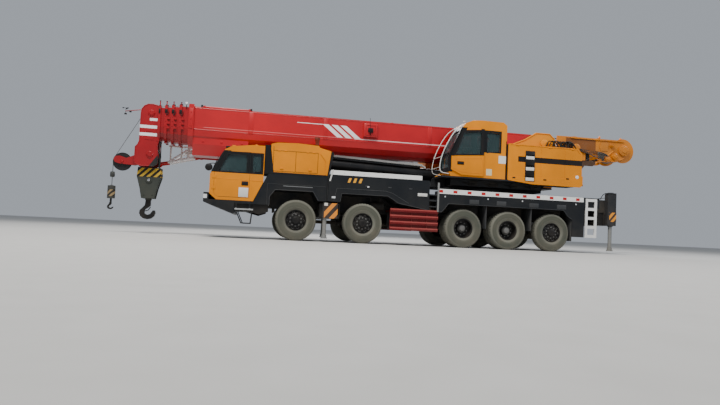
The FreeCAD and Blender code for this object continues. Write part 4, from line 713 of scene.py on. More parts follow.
def cushion(low, high, crown):
    """A stuffed pad: a block with a crowned, finely divided skin and a piped seam round it."""
    o = slab(low, high, 0.03, 3)
    alone(o)
    bpy.ops.object.mode_set(mode="EDIT")
    bpy.ops.mesh.select_all(action="SELECT")
    bpy.ops.mesh.subdivide(number_cuts=5, smoothness=0.0)
    bpy.ops.object.mode_set(mode="OBJECT")
    middle = [(a + b) / 2 for a, b in zip(low, high)]
    half = [abs(b - a) / 2 for a, b in zip(low, high)]
    for v in o.data.vertices:
        across = [max(0.0, 1 - ((v.co[i] - middle[i]) / half[i]) ** 2) for i in range(3)]
        v.co.x += crown * math.copysign(across[1] * across[2], v.co.x - middle[0]) * (half[0] < 0.12)
        v.co.z += crown * math.copysign(across[0] * across[1], v.co.z - middle[2]) * (half[2] < 0.12)
    return o


seat_sets = (("driver_seat", 4.36, 0.82, 1.26, 1.4, 4.27, 2.22, "carrier", "cab_interior"),
             ("operator_cushions", -2.8, 0.8, 1.25, 2.62, -2.94, 3.44, "superstructure", "operator_seat"))
for name, x, y0, y1, z, back, top, body, node in seat_sets:
    cushion((x, y0, z), (x + 0.48, y1, z + 0.14), 0.012)
    cushion((back, y0 + 0.02, z + 0.12), (back + 0.13, y1 - 0.02, top - 0.05), 0.012)
    if body == "carrier":
        cushion((back + 0.01, 0.93, top), (back + 0.1, 1.15, top + 0.17), 0.008)
    pads = fitted(name, cloth, body, 50)
    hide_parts(node)
lathe([(0.215 + a, b) for a, b in around(8, 0.016)], (0, 0, 0), "X", 40, True)
slab((-0.012, -0.2, -0.02), (0.012, 0.2, 0.02), 0.008)
slab((-0.012, -0.02, -0.2), (0.012, 0.02, 0), 0.008)
lathe([(0, 0.03), (0.06, 0.022), (0.07, 0.0), (0, -0.02)], (0, 0, 0), "X", 24)
wheel = united()
wheel.data.transform(Matrix.Translation((4.96, 1.04, 1.8)) @ Matrix.Rotation(math.radians(28), 4, "Y"))
bench.append(wheel)
slab((4.4, 0.86, 1.182), (4.78, 1.22, 1.4), 0.02)
slab((5.14, 0.66, 1.55), (5.36, 1.4, 1.84), 0.05, 4)
slab((5.24, 0.66, 1.182), (5.36, 1.4, 1.56), 0.02)
slab((5.1, 0.86, 1.72), (5.2, 1.22, 1.87), 0.03, 3)
bar([(5.14, 1.7), (4.97, 1.8)], 1.04, 0.03)
slab((4.62, 0.62, 1.182), (4.84, 0.78, 1.62), 0.03)
fitted("driver_fittings", plastic, "carrier")
for y0, y1 in ((0.7, 0.79), (1.26, 1.34)):
    slab((-2.7, y0, 2.252), (-2.26, y1, 2.94), 0.03, 3)
slab((-2.75, 0.85, 2.252), (-2.36, 1.2, 2.62), 0.02)
slab((-2.7, 0.78, 2.45), (-2.5, 1.27, 2.5), 0.01)
slab((-1.72, 0.85, 2.252), (-1.64, 1.2, 2.5), 0.01)
slab((-1.76, 1.16, 2.7), (-1.7, 1.36, 3.02), 0.015)
for y in (0.745, 1.3):
    bar([(-2.36, 2.94), (-2.34, 3.05)], y, 0.01)
    lathe([(0, 0.04), (0.02, 0.035), (0.026, 0.01), (0.018, -0.03), (0, -0.03)], (-2.335, y, 3.08), "Z", 16)
fitted("operator_consoles", plastic, "superstructure")

# Engine cover: a yellow hood of folded sheet behind the cab with black front band and edges.
# Hatches are outlined by their seams, hinges and latches; the exhaust stands on the roof.
cover_paint = painted("engine_cover_paint", YELLOW, gloss=0.4, dust=0.05, top=2.4, coat=0.05)
sprayed(cover_paint, BLACK, x=(3.875, 4.2))
sprayed(cover_paint, BLACK, z=(1.8, 1.955))
sprayed(cover_paint, (0.16, 0.035, 0.02), z=(2.86, 3.2))
wear("engine_cover", cover_paint)
for x0, z0, x1, z1 in ((3.8, 1.99, 3.8, 2.72), (2.5, 2.0, 2.5, 2.6), (2.5, 2.0, 3.8, 2.0),
                       (2.5, 2.6, 3.8, 2.6), (3.15, 2.0, 3.15, 2.6)):
    bar([(x0, z0), (x1, z1)], 1.452, 0.0045, sides=1)
plate([(2.115, 2.675), (2.03, 2.64), (2.15, 1.955), (2.205, 1.955)], 1.4585, 0.02)
plate([(3.885, 2.7), (3.885, 1.955), (3.775, 1.955)], 1.4545, 0.01)
slab((2.12, 1.448, 1.925), (3.88, 1.462, 1.962), 0.004)
fitted("cover_seams", trim_black, "carrier")
plate([(2.9, 2.835), (2.6, 2.8), (2.105, 2.68), (2.19, 1.97), (2.6, 1.97)], 1.024, 0.846, edge=0.012)
fitted("cover_rear_corner", cover_paint, "carrier")
plate([(2.44, 2.6), (2.33, 2.725), (2.115, 2.672), (2.2, 1.97), (2.262, 1.97), (2.262, 2.36)], 1.4565,
      0.022)
fitted("cover_rear_cheek", cover_paint, "carrier")
for x in (2.72, 3.55):
    slab((x - 0.05, 1.445, 2.06), (x + 0.05, 1.466, 2.1), 0.005)
    for dx in (-0.09, 0.09):
        bar([(x + dx - 0.04, 2.605), (x + dx + 0.04, 2.605)], 1.457, 0.009)
for k in range(7):
    slab((2.7 + 0.1 * k, 0.75, 2.845), (2.74 + 0.1 * k, 1.25, 2.862), 0.006)
lathe([(0.058, 0.02), (0.062, 0.0), (0.078, 0.0), (0.082, 0.02), (0.072, 0.034)], (2.5, 1.0, 3.085), "Z", 28)
cap = plate([(2.4, 0), (2.6, 0), (2.56, 0.05), (2.44, 0.05)], 0, 0.012)
cap.data.transform(Matrix.Translation((0, 1.0, 3.1)))
for z in (2.92, 3.0):
    band((2.5, 1.0, z), 0.0525, 0.064, 0.012, "Z", 28)
fitted("cover_catches", cover_paint, "carrier")

# Side guards, steps, ladders and stirrups: square tube and folded rails in dark red.
# The ladders are white, the steps by the housing grey, each with bolt heads and a tread of raised buttons.
guard_paint = painted("guard_red_paint", (0.125, 0.003, 0.006), gloss=0.42, dust=0.16, top=1.4)
# Painted highlight: a lighter red band along the top of each rail.
for k in range(4):
    sprayed(guard_paint, (0.36, 0.06, 0.055), x=(-1.3, 0.3), z=(0.505 + 0.185 * k, 0.56 + 0.185 * k),
            out_y=1.462)
sprayed(guard_paint, (0.75, 0.75, 0.73), x=(-6.62, -6.15))
sprayed(guard_paint, (0.012, 0.013, 0.015), x=(4.2, 5.0))
sprayed(guard_paint, (0.35, 0.36, 0.36), x=(4.2, 5.0), z=(0.815, 0.87))
sprayed(guard_paint, (0.03, 0.032, 0.036), x=(-1.26, -0.9), z=(1.11, 1.8))
wear("steps_and_guards", guard_paint)
for word, side in SIDES:
    for k in range(4):
        z = 0.4975 + 0.185 * k
        for x in (-1.2, -0.86, 0.2):
            lathe([(0, 0.009 * side), (0.012, 0.009 * side), (0.0145, 0.004 * side), (0.0145, 0.0)],
                  (x, 1.4895 * side, z), "Y", 6)
    for z in (0.47, 0.655, 0.84, 1.025):
        bar([(-1.245, z + 0.07), (0.245, z + 0.07)], 1.487 * side, 0.006, sides=1)
    for x in (-0.9, -0.42):
        slab((x - 0.004, 1.47 * side, 0.46), (x + 0.004, 1.4935 * side, 1.09), 0)
    fitted("guard_bolts_" + word, guard_paint, "carrier")
    for k in range(3):
        for j in range(5):
            lathe([(0, 0.006), (0.009, 0.005), (0.013, 0.0)],
                  (-1.19 + 0.05 * j, 1.36 * side, 1.2355 + 0.18 * k), "Z", 8)
    slab((-1.262, 1.47 * side, 1.06), (-1.205, 1.4975 * side, 1.96), 0.008)
    fitted("step_grips_" + word, jack_paint, "carrier")

# Turning platform: welded deck on the slewing ring, black below and yellow on the tall side cheeks.
# A bolt circle, bent steel pipes to the valves, edge bars on the cheeks and caps over the pivot pin.
table_paint = painted("platform_enamel", (0.016, 0.018, 0.021), gloss=0.42, dust=0.35, top=2.2)
sprayed(table_paint, (0.7, 0.27, 0.012), z=(2.23, 4.2), out_y=0.4)
wear("turntable", table_paint)
SLEW_X = -3.1
for x, y in around(36, 0.865):
    lathe([(0, 0.022), (0.016, 0.022), (0.018, 0.018), (0.018, 0.0)], (SLEW_X + x, y, 1.8985), "Z", 6)
for side in (1, -1):
    y = 0.527 * side
    bar([(-5.1, 1.99), (-5.58, 2.61), (-5.58, 3.77), (-5.4, 3.93), (-4.91, 3.93), (-4.51, 3.68),
         (-2.31, 2.73), (-1.81, 2.48), (-1.33, 2.15)], y, 0.018)
    lathe([(0, 0.045 * side), (0.1, 0.045 * side), (0.13, 0.035 * side), (0.135, 0.0)],
          (-5.2, 0.545 * side, 3.6), "Y", 32)
fitted("cheek_edges_and_bolts", table_paint, "superstructure")
pipe_black = painted("pipe_black_enamel", (0.01, 0.01, 0.01), gloss=0.42, dust=0.3, top=4.2, grain=90,
                     bump=0.08)
for k in range(9):
    y = 0.6 + 0.05 * (k % 3)
    x = -5.22 - 0.09 * k
    pipe([(x, y, 3.36), (x - 0.02, y + 0.02, 3.58 + 0.03 * (k % 4)), (x - 0.16, y - 0.01, 3.72),
          (x - 0.34, y, 3.62 - 0.05 * (k % 3)), (x - 0.4, y, 3.37)], 0.017, smooth=True, sides=2)
for k in range(6):
    y = -0.25 + 0.1 * k
    pipe([(-4.9, y, 2.24), (-4.6, y, 2.46 + 0.02 * k), (-4.0, y * 1.1, 2.4), (-3.4, y * 0.6, 2.12),
          (-3.1, y * 0.5, 1.95)], 0.02, smooth=True, sides=2)
for side in (1, -1):
    for k in range(4):
        x = -4.6 + 0.7 * k
        slab((x - 0.14, 1.079 * side, 1.975), (x + 0.14, 1.11 * side, 2.12), 0.008)
        pipe([(x - 0.1, 1.1 * side, 2.05), (x, 1.16 * side, 2.0), (x + 0.2, 1.15 * side, 2.02),
              (x + 0.34, 1.09 * side, 2.07)], 0.013, smooth=True, sides=2)
fitted("platform_pipes", pipe_black, "superstructure")

# Operator's cab: yellow shell with a rounded roof, black pillars and window surrounds.
# White tubular rails guard the windscreen; handles, a wiper and roof lamps are fixed on, and blank plates are
# sprayed on.
opcab_paint = painted("operator_cab_paint", YELLOW, gloss=0.4, dust=0.04, top=3.0, coat=0.05)
sprayed(opcab_paint, BLACK, x=(-3.25, -2.6), z=(3.0, 3.7), out_y=1.44)
sprayed(opcab_paint, BLACK, x=(-0.43, 0.4), z=(2.83, 3.74), slant=-0.45)
sprayed(opcab_paint, BLACK, x=(-1.66, -1.4), z=(2.33, 2.92))
# Painted shade: a dark yellow strip down the cab's rear edge, in the joint with the hood.
sprayed(opcab_paint, (0.03, 0.012, 0.004), x=(-3.46, -3.405), z=(2.1, 3.4), out_y=1.44)
sprayed(opcab_paint, (0.15, 0.155, 0.16), x=(-3.4, -1.7), y=(0.62, 1.42), z=(2.22, 3.85))
sprayed(opcab_paint, (0.74, 0.74, 0.7), x=(-3.415, -3.17), z=(2.69, 2.93), out_y=1.44)
sprayed(opcab_paint, (0.66, 0.58, 0.36), x=(-2.96, -2.77), z=(2.29, 2.49), out_y=1.44)
wear("operator_cab", opcab_paint)
opdoor_paint = painted("operator_door_paint", YELLOW, gloss=0.4, dust=0.04, top=3.0, coat=0.05)
sprayed(opdoor_paint, BLACK, x=(-0.42, 0.4), z=(2.82, 3.75), slant=-0.45)
sprayed(opdoor_paint, BLACK, x=(-2.7, -2.55), z=(2.9, 3.75))
wear("operator_door", opdoor_paint)
pane_hole = [(-2.56, 2.93), (-1.74, 2.88), (-1.98, 3.56), (-2.56, 3.64)]
frame_line = [(-2.655, 2.905), (-1.665, 2.835), (-1.955, 3.645), (-2.655, 3.7)]
plate(frame_line, 1.4895, 0.008, [pane_hole])
bar(pane_hole, 1.492, 0.0065, closed=True)
slab((-2.02, 1.484, 2.565), (-1.8, 1.493, 2.665), 0.008)
slab((-1.99, 1.488, 2.6), (-1.83, 1.4985, 2.625), 0.005)
fitted("operator_door_surround", trim_black, "operator_door")
bar([(-2.62, 2.8), (-1.7, 2.735)], 1.485, 0.007, sides=1)
bar([(-2.62, 2.33), (-1.96, 2.33), (-1.68, 2.45)], 1.485, 0.006, sides=1)
bar([(-2.62, 2.31), (-2.62, 2.8)], 1.485, 0.006, sides=1)
fitted("operator_door_creases", opdoor_paint, "operator_door")
bar(((-3.19, 3.06), (-2.77, 2.99), (-2.77, 3.64), (-3.19, 3.61)), 1.4455, 0.0045, closed=True)
pipe([(-1.553, 0.64, 2.46), (-1.553, 1.37, 2.46), (-1.553, 1.37, 2.89), (-1.553, 0.64, 2.89)], 0.012,
     closed=True)
pipe([(-1.565, 0.64, 2.915), (-1.565, 1.37, 2.915), (-1.885, 1.37, 3.63), (-1.885, 0.64, 3.63)], 0.012,
     closed=True)
pipe([(-1.9, 1.02, 3.7), (-1.62, 1.16, 3.1)], 0.008)
pipe([(-1.66, 1.1, 3.3), (-1.57, 1.22, 3.0)], 0.006)
slab((-3.3, 0.7, 3.955), (-2.95, 1.3, 3.998), 0.012)
for k in range(6):
    slab((-3.436, 0.75, 2.55 + 0.09 * k), (-3.42, 1.3, 2.59 + 0.09 * k), 0.004)
fitted("operator_cab_trim", trim_black, "superstructure")
for y in (1.42, 0.66):
    bar([(-1.56, 2.27), (-1.34, 2.28), (-1.26, 2.36), (-1.27, 2.62), (-1.36, 2.95), (-1.52, 3.3),
         (-1.72, 3.62), (-1.93, 3.8), (-2.04, 3.84)], y, 0.013, smooth=True)
for x, z in ((-1.262, 2.45), (-1.3, 2.78)):
    pipe([(x, 0.66, z), (x, 1.42, z)], 0.01)
for x, low, high in ((-2.0, 3.915, 3.94), (-2.35, 3.96, 3.992), (-2.75, 3.96, 3.992)):
    slab((x - 0.03, 1.38, low), (x + 0.03, 1.445, high), 0.006)
fitted("windscreen_rails", plate_white, "superstructure")
lathe([(0, 0.085), (0.03, 0.082), (0.048, 0.06), (0.05, 0.0)], (-2.2, 0.8, 3.885), "Z", 20)
for y in (0.75, 1.28):
    slab((-1.99, y - 0.06, 3.74), (-1.93, y + 0.06, 3.82), 0.014, 3)
fitted("operator_cab_lamps", lamp_lens, "superstructure")

# Machinery hoods: yellow sheet covers over the pumps with a black band and a column of steps.
# Seams, flush latches, a rain edge along the roof and a reflector at the rear corner.
hood_paint = painted("hood_yellow_paint", YELLOW, gloss=0.4, dust=0.04, top=3.0, coat=0.05)
sprayed(hood_paint, (0.012, 0.01, 0.009), x=(-6.1, -3.83), z=(2.79, 2.965), out_y=1.44)
# Painted shade: a dark yellow strip down the hood's front edge, in the joint with the cab.
sprayed(hood_paint, (0.03, 0.012, 0.004), x=(-3.485, -3.4), z=(2.1, 3.4), out_y=1.3)
wear("machinery_hood", hood_paint)
for word, side in SIDES:
    bar([(-5.99, 3.19), (-5.86, 3.325), (-3.54, 3.325)], 1.4515 * side, 0.009)
    bar([(-4.62, 2.24), (-4.62, 3.3)], 1.452 * side, 0.004, sides=1)
    bar([(-5.45, 2.26), (-5.45, 3.3)], 1.452 * side, 0.004, sides=1)
    bar([(-3.46, 2.235), (-5.19, 2.235), (-5.7, 2.26)], 1.452 * side, 0.006)
    for x in (-3.8, -4.9, -5.7):
        bar([(x - 0.06, 3.31), (x + 0.06, 3.31)], 1.455 * side, 0.011)
    for k in range(8):
        slab((-5.8 + 0.11 * k, 1.0 * side, 3.347), (-5.75 + 0.11 * k, 1.35 * side, 3.362), 0.005)
    plate([(-3.5, 2.3), (-3.5, 2.19), (-4.35, 2.1), (-6.0, 2.1), (-6.085, 2.17), (-6.085, 2.45),
           (-5.7, 2.36)], 1.448 * side, 0.016)
    slab((-6.085, 0.6 * side, 2.15), (-6.045, 1.445 * side, 2.47), 0.005)
    for k in range(6):
        slab((-6.068, 0.72 * side, 2.62 + 0.075 * k), (-6.048, 1.32 * side, 2.655 + 0.075 * k), 0.006)
    fitted("hood_edges_" + word, hood_paint, "superstructure")
    slab((-4.395, 1.448 * side, 2.19), (-4.075, 1.4655 * side, 3.155), 0.006)
    for z in (2.42, 2.76, 3.08):
        slab((-4.375, 1.46 * side, z - 0.055), (-4.095, 1.4915 * side, z - 0.035), 0.004)
    for x, z in ((-3.7, 2.28), (-4.76, 2.27), (-5.55, 2.35)):
        slab((x - 0.05, 1.449 * side, z - 0.02), (x + 0.05, 1.462 * side, z + 0.02), 0.005)
    fitted("hood_steps_" + word, trim_black, "superstructure")
    for z in (2.255, 2.585, 2.94):
        slab((-4.375, 1.4645 * side, z - 0.05), (-4.095, 1.469 * side, z + 0.05), 0.0015)
    lathe([(0, 0.014 * side), (0.045, 0.012 * side), (0.06, 0.0)], (-5.89, 1.4505 * side, 2.42), "Y", 20)
    fitted("hood_white_steps_" + word, plate_white, "superstructure")

# Right locker: the low housing opposite the operator's cab, yellow sheet like the hoods.
# Two hatches are outlined by their rubber seams, with hinges along the top and latches below.
bar([(-3.36, 2.26), (-3.36, 2.84), (-1.48, 2.84), (-1.48, 2.26)], -1.452, 0.006, closed=True)
bar([(-2.42, 2.26), (-2.42, 2.84)], -1.452, 0.005)
for x in (-3.2, -2.6, -2.25, -1.62):
    bar([(x - 0.05, 2.845), (x + 0.05, 2.845)], -1.455, 0.01)
for x in (-2.9, -1.95):
    slab((x - 0.08, -1.466, 2.33), (x + 0.08, -1.45, 2.37), 0.005)
fitted("right_locker_hatches", trim_black, "superstructure")

# Rear winch frame: heavy cut plates, yellow paint darkened to brown-yellow as painted shade and dulled by
# road dust, with two rope drums between.
# Rope lies on the drums in laps; bent steel pipes join the motors and lamp heads stand on the posts.
winch_shaded_paint = painted("winch_frame_shaded_paint", (0.62, 0.2, 0.006), gloss=0.4, dust=0.38, top=5.5, shade=0.35,
                      coat=0.1)
sprayed(winch_shaded_paint, (0.02, 0.014, 0.008), y=(-0.46, 0.46), x=(-8.6, -5.6))
# Painted shade on the left plate: a brown band high up and a dark patch low down.
sprayed(winch_shaded_paint, (0.2, 0.06, 0.006), x=(-7.1, -5.98), z=(3.48, 3.87), y=(0.56, 0.6))
sprayed(winch_shaded_paint, (0.055, 0.022, 0.008), x=(-7.1, -6.05), z=(2.3, 3.13), y=(0.56, 0.6))
wear("winch_frame", winch_shaded_paint)
rope_steel = painted("rope_steel", (0.16, 0.155, 0.15), gloss=0.45, dust=0.3, top=4.0, metal=0.6, grain=220,
                     bump=0.4)
DRUMS = ((-6.35, 3.52), (-8.18, 3.56))
for x, z in DRUMS:
    laps = [(0.262, -0.458)]
    for k in range(26):
        laps += [(0.318, -0.452 + 0.035 * k), (0.336, -0.434 + 0.035 * k)]
    lathe(laps + [(0.318, 0.458), (0.262, 0.458)], (x, 0, z), "Y", 48, True)
fitted("rope_on_drums", rope_steel, "superstructure")
for side in (1, -1):
    for x, z, r, out in ((-8.15, 3.56, 0.185, 0.105), (-7.8, 3.33, 0.11, 0.13),
                         (-7.54, 3.23, 0.09, 0.12), (-6.35, 3.52, 0.15, 0.09),
                         (-7.7, 3.7, 0.07, 0.1)):
        y = (0.525 + out) * side
        lathe([(0, 0.03 * side), (r * 0.45, 0.03 * side), (r * 0.5, 0.012 * side), (r * 0.8, 0.01 * side),
               (r * 0.98, 0.0)], (x, y, z), "Y", 36)
        for a, b in around(8, r * 0.82):
            bolt((x + a, y + 0.009 * side, z + b), 0.011, 0.012, 0.012 * side)
    for k in range(9):
        lathe([(0, 0.012 * side), (0.014, 0.01 * side), (0.016, 0.0)],
              (-6.0 - 0.24 * k, 0.5995 * side, 3.878), "Y", 8)
    y = 0.572 * side
    bar([(-6.12, 2.36), (-6.7, 2.97), (-7.0, 2.97), (-7.2, 3.12), (-7.9, 3.17), (-8.19, 3.3)], y, 0.014)
    plate([(-7.56, 3.5), (-7.3, 3.5), (-7.24, 3.62), (-7.3, 3.8), (-7.56, 3.8)], 0.576 * side, 0.012)
fitted("winch_motor_caps", winch_shaded_paint, "superstructure")
for k in range(3):
    pipe([(-7.58 + 0.03 * k, 0.64, 3.3 + 0.02 * k), (-7.45, 0.65 - 0.01 * k, 3.33 + 0.035 * k),
          (-7.15, 0.61, 3.38 + 0.04 * k), (-6.78, 0.6, 3.36 + 0.045 * k), (-6.46, 0.62, 3.44 + 0.03 * k)],
         0.014, smooth=True, sides=2)
for k in range(3):
    pipe([(-5.72 - 0.05 * k, 0.6, 3.1), (-5.74 - 0.06 * k, 0.64, 3.45 + 0.05 * k),
          (-5.95 - 0.05 * k, 0.62, 3.66 + 0.04 * k), (-6.2, 0.61, 3.62 + 0.03 * k), (-6.3, 0.63, 3.55)],
         0.016, smooth=True, sides=2)
slab((-5.98, 0.575, 3.28), (-5.72, 0.7, 3.52), 0.02)
slab((-6.95, 0.3, 3.14), (-6.75, 0.46, 3.4), 0.02)
fitted("winch_pipes", pipe_black, "superstructure")
for x, y in ((-7.25, 0.54), (-8.05, 0.54), (-7.7, -0.54)):
    lathe([(0, 0.012), (0.026, 0.01), (0.034, -0.005), (0.034, -0.05), (0.023, -0.055)], (x, y, 3.985), "Z",
          16)
fitted("rear_lamp_heads", lamp_amber, "superstructure")
bar([(-7.42, 3.2), (-6.8, 3.42)], 0.5, 0.014)
bar([(-6.8, 3.16), (-7.3, 3.4)], 0.47, 0.01)
fitted("window_rod", rope_steel, "superstructure")

# Boom base: bent plate welded into a deep tube, sprayed red; its lettering is left bare.
# Three slanted white stripes, edge lines, weld seams, a painted highlight along the side seam, a bracket with
# an aerial and the hoist rope on rollers.
RED = (0.44, 0.0015, 0.006)
WHITE = (0.8, 0.8, 0.8)
base_paint = painted("boom_base_paint", RED, gloss=0.36, dust=0.06, top=3.4, coat=0.12, spec=0.6)
for k in range(3):
    sprayed(base_paint, WHITE, x=(-2.472 - 0.282 * k, -2.277 - 0.282 * k), z=(3.285, 3.665), out_y=0.44,
            slant=1.25)
sprayed(base_paint, WHITE, x=(2.3, 3.1), z=(3.645, 3.665), out_y=0.44)
# Painted highlight: two pale pink lines along the seam where the upper and lower plates meet.
sprayed(base_paint, (0.62, 0.2, 0.2), x=(1.2, 5.9), z=(3.268, 3.282), out_y=0.44)
sprayed(base_paint, (0.74, 0.48, 0.47), x=(-3.4, 1.27), z=(3.258, 3.29), out_y=0.44)
wear("boom_base", base_paint)
for side in (1, -1):
    y = 0.4495 * side
    bar([(-4.5, 3.2), (6.19, 3.2)], y, 0.006, sides=1)
    bar([(-4.5, 3.845), (6.19, 3.845)], y, 0.009, sides=1)
    for x in (-3.6, -1.2, 2.2, 4.5):
        slab((x - 0.07, 0.448 * side, 3.18), (x + 0.07, 0.458 * side, 3.84), 0.004)
    slab((6.22, 0.506 * side, 3.2), (6.33, 0.522 * side, 3.82), 0.004)
    for z in (3.3, 3.5, 3.7):
        bolt((6.275, 0.521 * side, z), 0.02, 0.024, 0.012 * side)
    for x in (4.75, 5.35, 5.9):
        lathe([(0, 0.015 * side), (0.028, 0.013 * side), (0.035, 0.0)], (x, 0.4 * side, 2.86), "Y", 12)
ROLLER_X = (-4.0, -2.0, 0.0, 3.9, 5.6)
for x in ROLLER_X:
    slab((x - 0.05, -0.16, 3.876), (x + 0.05, 0.16, 3.895), 0.005)
    for y in (-0.15, 0.13):
        slab((x - 0.04, y, 3.89), (x + 0.04, y + 0.02, 3.955), 0.004)
slab((0.56, 0.508, 3.36), (0.99, 0.53, 3.79), 0.01)
bar([(0.62, 3.42), (0.93, 3.42), (0.93, 3.73), (0.62, 3.73)], 0.535, 0.009, closed=True)
fitted("boom_seams_and_rollers", base_paint, "boom")
for x in ROLLER_X:
    lathe([(0, -0.13), (0.03, -0.13), (0.03, -0.1), (0.022, -0.09), (0.022, 0.09), (0.03, 0.1),
           (0.03, 0.13), (0, 0.13)], (x, 0, 3.925), "Y", 16)
pipe([(0.78, 0.52, 3.42), (0.78, 0.6, 3.42), (0.8, 0.61, 3.5)], 0.012, smooth=True)
bar([(0.8, 3.48), (0.82, 3.95)], 0.61, 0.006)
slab((0.7, 0.525, 3.5), (0.86, 0.575, 3.64), 0.01)
pipe([(6.43, 0.44, 3.8), (6.43, 0.46, 3.93)], 0.01)
for x in (4.52, 6.0):
    slab((x - 0.03, 0.14, 3.885), (x + 0.03, 0.26, 3.992), 0.012)
for k in range(4):
    bar([(4.55, 3.905), (6.2, 3.905)], 0.05 + 0.035 * k, 0.012, sides=2)
fitted("boom_rollers_and_pipes", trim_black, "boom")
lathe([(0, 0.028), (0.03, 0.024), (0.042, 0.0), (0.03, -0.028), (0, -0.032)], (6.43, 0.465, 3.955), "Y", 20)
fitted("boom_lamp", lamp_lens, "boom")
for y in (-0.035, 0.035):
    bar([(-6.35, 3.86), (-6.05, 3.9), (-5.2, 3.955), (-4.0, 3.957), (0, 3.957), (5.6, 3.957), (6.34, 3.962)],
        y, 0.009)
fitted("hoist_rope_run", rope_steel, "boom")

# Inner sections: three thinner tubes nested in the base, each ending in a collar with gussets and wear pads.
# Grab loops and pad screws crowd the top of the collars.
# The tubes wear the boom's red darkened as painted shade.
tube_shaded_paint = painted("boom_tube_shaded_paint", (0.34, 0.0015, 0.006), gloss=0.36, dust=0.06, top=3.4, coat=0.1,
                     spec=0.5)
COLLARS = ((1, 6.59, 0.467, 3.897, 2.703), (2, 6.81, 0.443, 3.873, 2.727), (3, 7.01, 0.419, 3.849, 2.751))
for number, cx, half, top, low in COLLARS:
    node = "boom_section_%d" % number
    wear(node, tube_shaded_paint)
    for side in (1, -1):
        for z in (3.22, 3.36, 3.5):
            plate([(cx - 0.125, z - 0.055), (cx - 0.04, z - 0.06), (cx - 0.04, z + 0.06)],
                  (half - 0.03) * side, 0.05, edge=0.002)
            bolt((cx, half * side, z + 0.02), 0.014, 0.017, 0.01 * side)
        slab((cx - 0.04, 0.16 * side, low - 0.012), (cx + 0.04, 0.2 * side, low + 0.02), 0.003)
    fitted("collar_gussets_%d" % number, tube_shaded_paint, node)
    for side in (1, -1):
        slab((cx - 0.05, (half - 0.16) * side, top - 0.005), (cx + 0.03, (half - 0.05) * side, top + 0.035),
             0.008)
        slab((cx - 0.045, (half - 0.004) * side, 3.62), (cx + 0.035, (half + 0.014) * side, 3.74), 0.006)
        pipe([(cx, half * side, 3.6), (cx - 0.02, (half + 0.02) * side, 3.56),
              (cx - 0.07, (half + 0.01) * side, 3.6), (cx - 0.08, (half - 0.01) * side, 3.7)], 0.01,
             smooth=True, sides=2)
    lathe([(0, 0.02), (0.02, 0.016), (0.024, 0.0)], (cx, 0.33, 3.978), "Z", 12)
    fitted("collar_pads_%d" % number, trim_black, node)

# Boom head: cut side plates with white bands, five rope sheaves above and five below, and a small tip arm.
# Sheave rims, axle caps, ropes between the sheaves, the aerial rope to the tip and a wind gauge on its mast.
# The head wears the boom's red darkened as painted shade.
head_shaded_paint = painted("boom_head_shaded_paint", (0.3, 0.0015, 0.006), gloss=0.36, dust=0.06, top=3.4, coat=0.1,
                     spec=0.5)
sprayed(head_shaded_paint, (0.012, 0.012, 0.013), y=(-0.246, 0.246), x=(7.265, 7.705), z=(1.9, 3.95))
sprayed(head_shaded_paint, (0.01, 0.01, 0.011), y=(-0.05, 0.05), x=(7.7, 8.6), z=(1.8, 2.5))
for low, high in ((0.285, 0.306), (-0.306, -0.285)):
    sprayed(head_shaded_paint, WHITE, x=(7.165, 7.48), z=(3.375, 3.455), y=(low, high))
    for z in (3.145, 2.915):
        sprayed(head_shaded_paint, WHITE, x=(7.165, 7.8), z=(z, z + 0.09), y=(low, high))
# Painted shade: a slanted dark patch low on each side plate stands in for a cutout.
for low, high in ((0.28, 0.306), (-0.306, -0.28)):
    sprayed(head_shaded_paint, (0.014, 0.013, 0.013), x=(7.9, 8.8), z=(1.99, 2.34), y=(low, high), slant=-0.68)
wear("boom_head", head_shaded_paint)
HEAD_EDGE = [(7.27, 3.845), (7.41, 3.875), (7.55, 3.865), (7.65, 3.81), (7.715, 3.715), (7.735, 3.6),
             (7.735, 2.77), (7.775, 2.65), (7.84, 2.57), (7.84, 2.13), (7.78, 2.045), (7.66, 2.015),
             (7.3, 2.015), (7.205, 2.11), (7.195, 2.25), (7.225, 2.62), (7.18, 2.9)]
TOP_AXLE, LOW_AXLE, TIP_AXLE = (7.44, 3.6), (7.42, 2.35), (8.23, 2.12)
for side in (1, -1):
    bar(HEAD_EDGE, 0.289 * side, 0.011)
    for x, z in (TOP_AXLE, LOW_AXLE):
        lathe([(0, 0.03 * side), (0.0525, 0.03 * side), (0.05775, 0.018 * side), (0.08925, 0.016 * side),
               (0.105, 0.0)], (x, 0.291 * side, z), "Y", 32)
        for a, b in around(6, 0.075):
            bolt((x + a, 0.306 * side, z + b), 0.01, 0.011, 0.012 * side)
    plate([(7.33, 3.1), (7.6, 3.1), (7.6, 2.8), (7.33, 2.8)], 0.292 * side, 0.012,
          [[(7.38, 3.05), (7.38, 2.85), (7.55, 2.85), (7.55, 3.05)]])
    lathe([(0, 0.02 * side), (0.035, 0.018 * side), (0.045, 0.0)], (8.23, 0.09 * side, 2.12), "Y", 20)
for x in (7.9, 8.02):
    slab((x - 0.02, -0.056, 2.12), (x + 0.02, 0.056, 2.2), 0.004)
fitted("head_edges_and_caps", head_shaded_paint, "boom_head")
sheave_steel = painted("sheave_dark_steel", (0.02, 0.02, 0.021), gloss=0.45, dust=0.2, top=4.0, metal=0.4)
for s in (1, -1):
    lathe([(0.2402, -0.02 * s), (0.262, -0.02 * s), (0.262, -0.0155 * s), (0.2425, -0.0128 * s),
           (0.2402, -0.0128 * s)], (0, 0, 0), "Y", 48, True)
    lathe([(0.0, 0.0212 * s), (0.07, 0.0212 * s), (0.085, 0.02 * s)], (0, 0, 0), "Y", 24)
groove = united()
SHEAVE_Y = [-0.16 + 0.08 * k for k in range(5)]
for y in SHEAVE_Y:
    for x, z in (TOP_AXLE, LOW_AXLE):
        again(groove, Matrix.Translation((x, y, z)))
tip_x, tip_z = TIP_AXLE
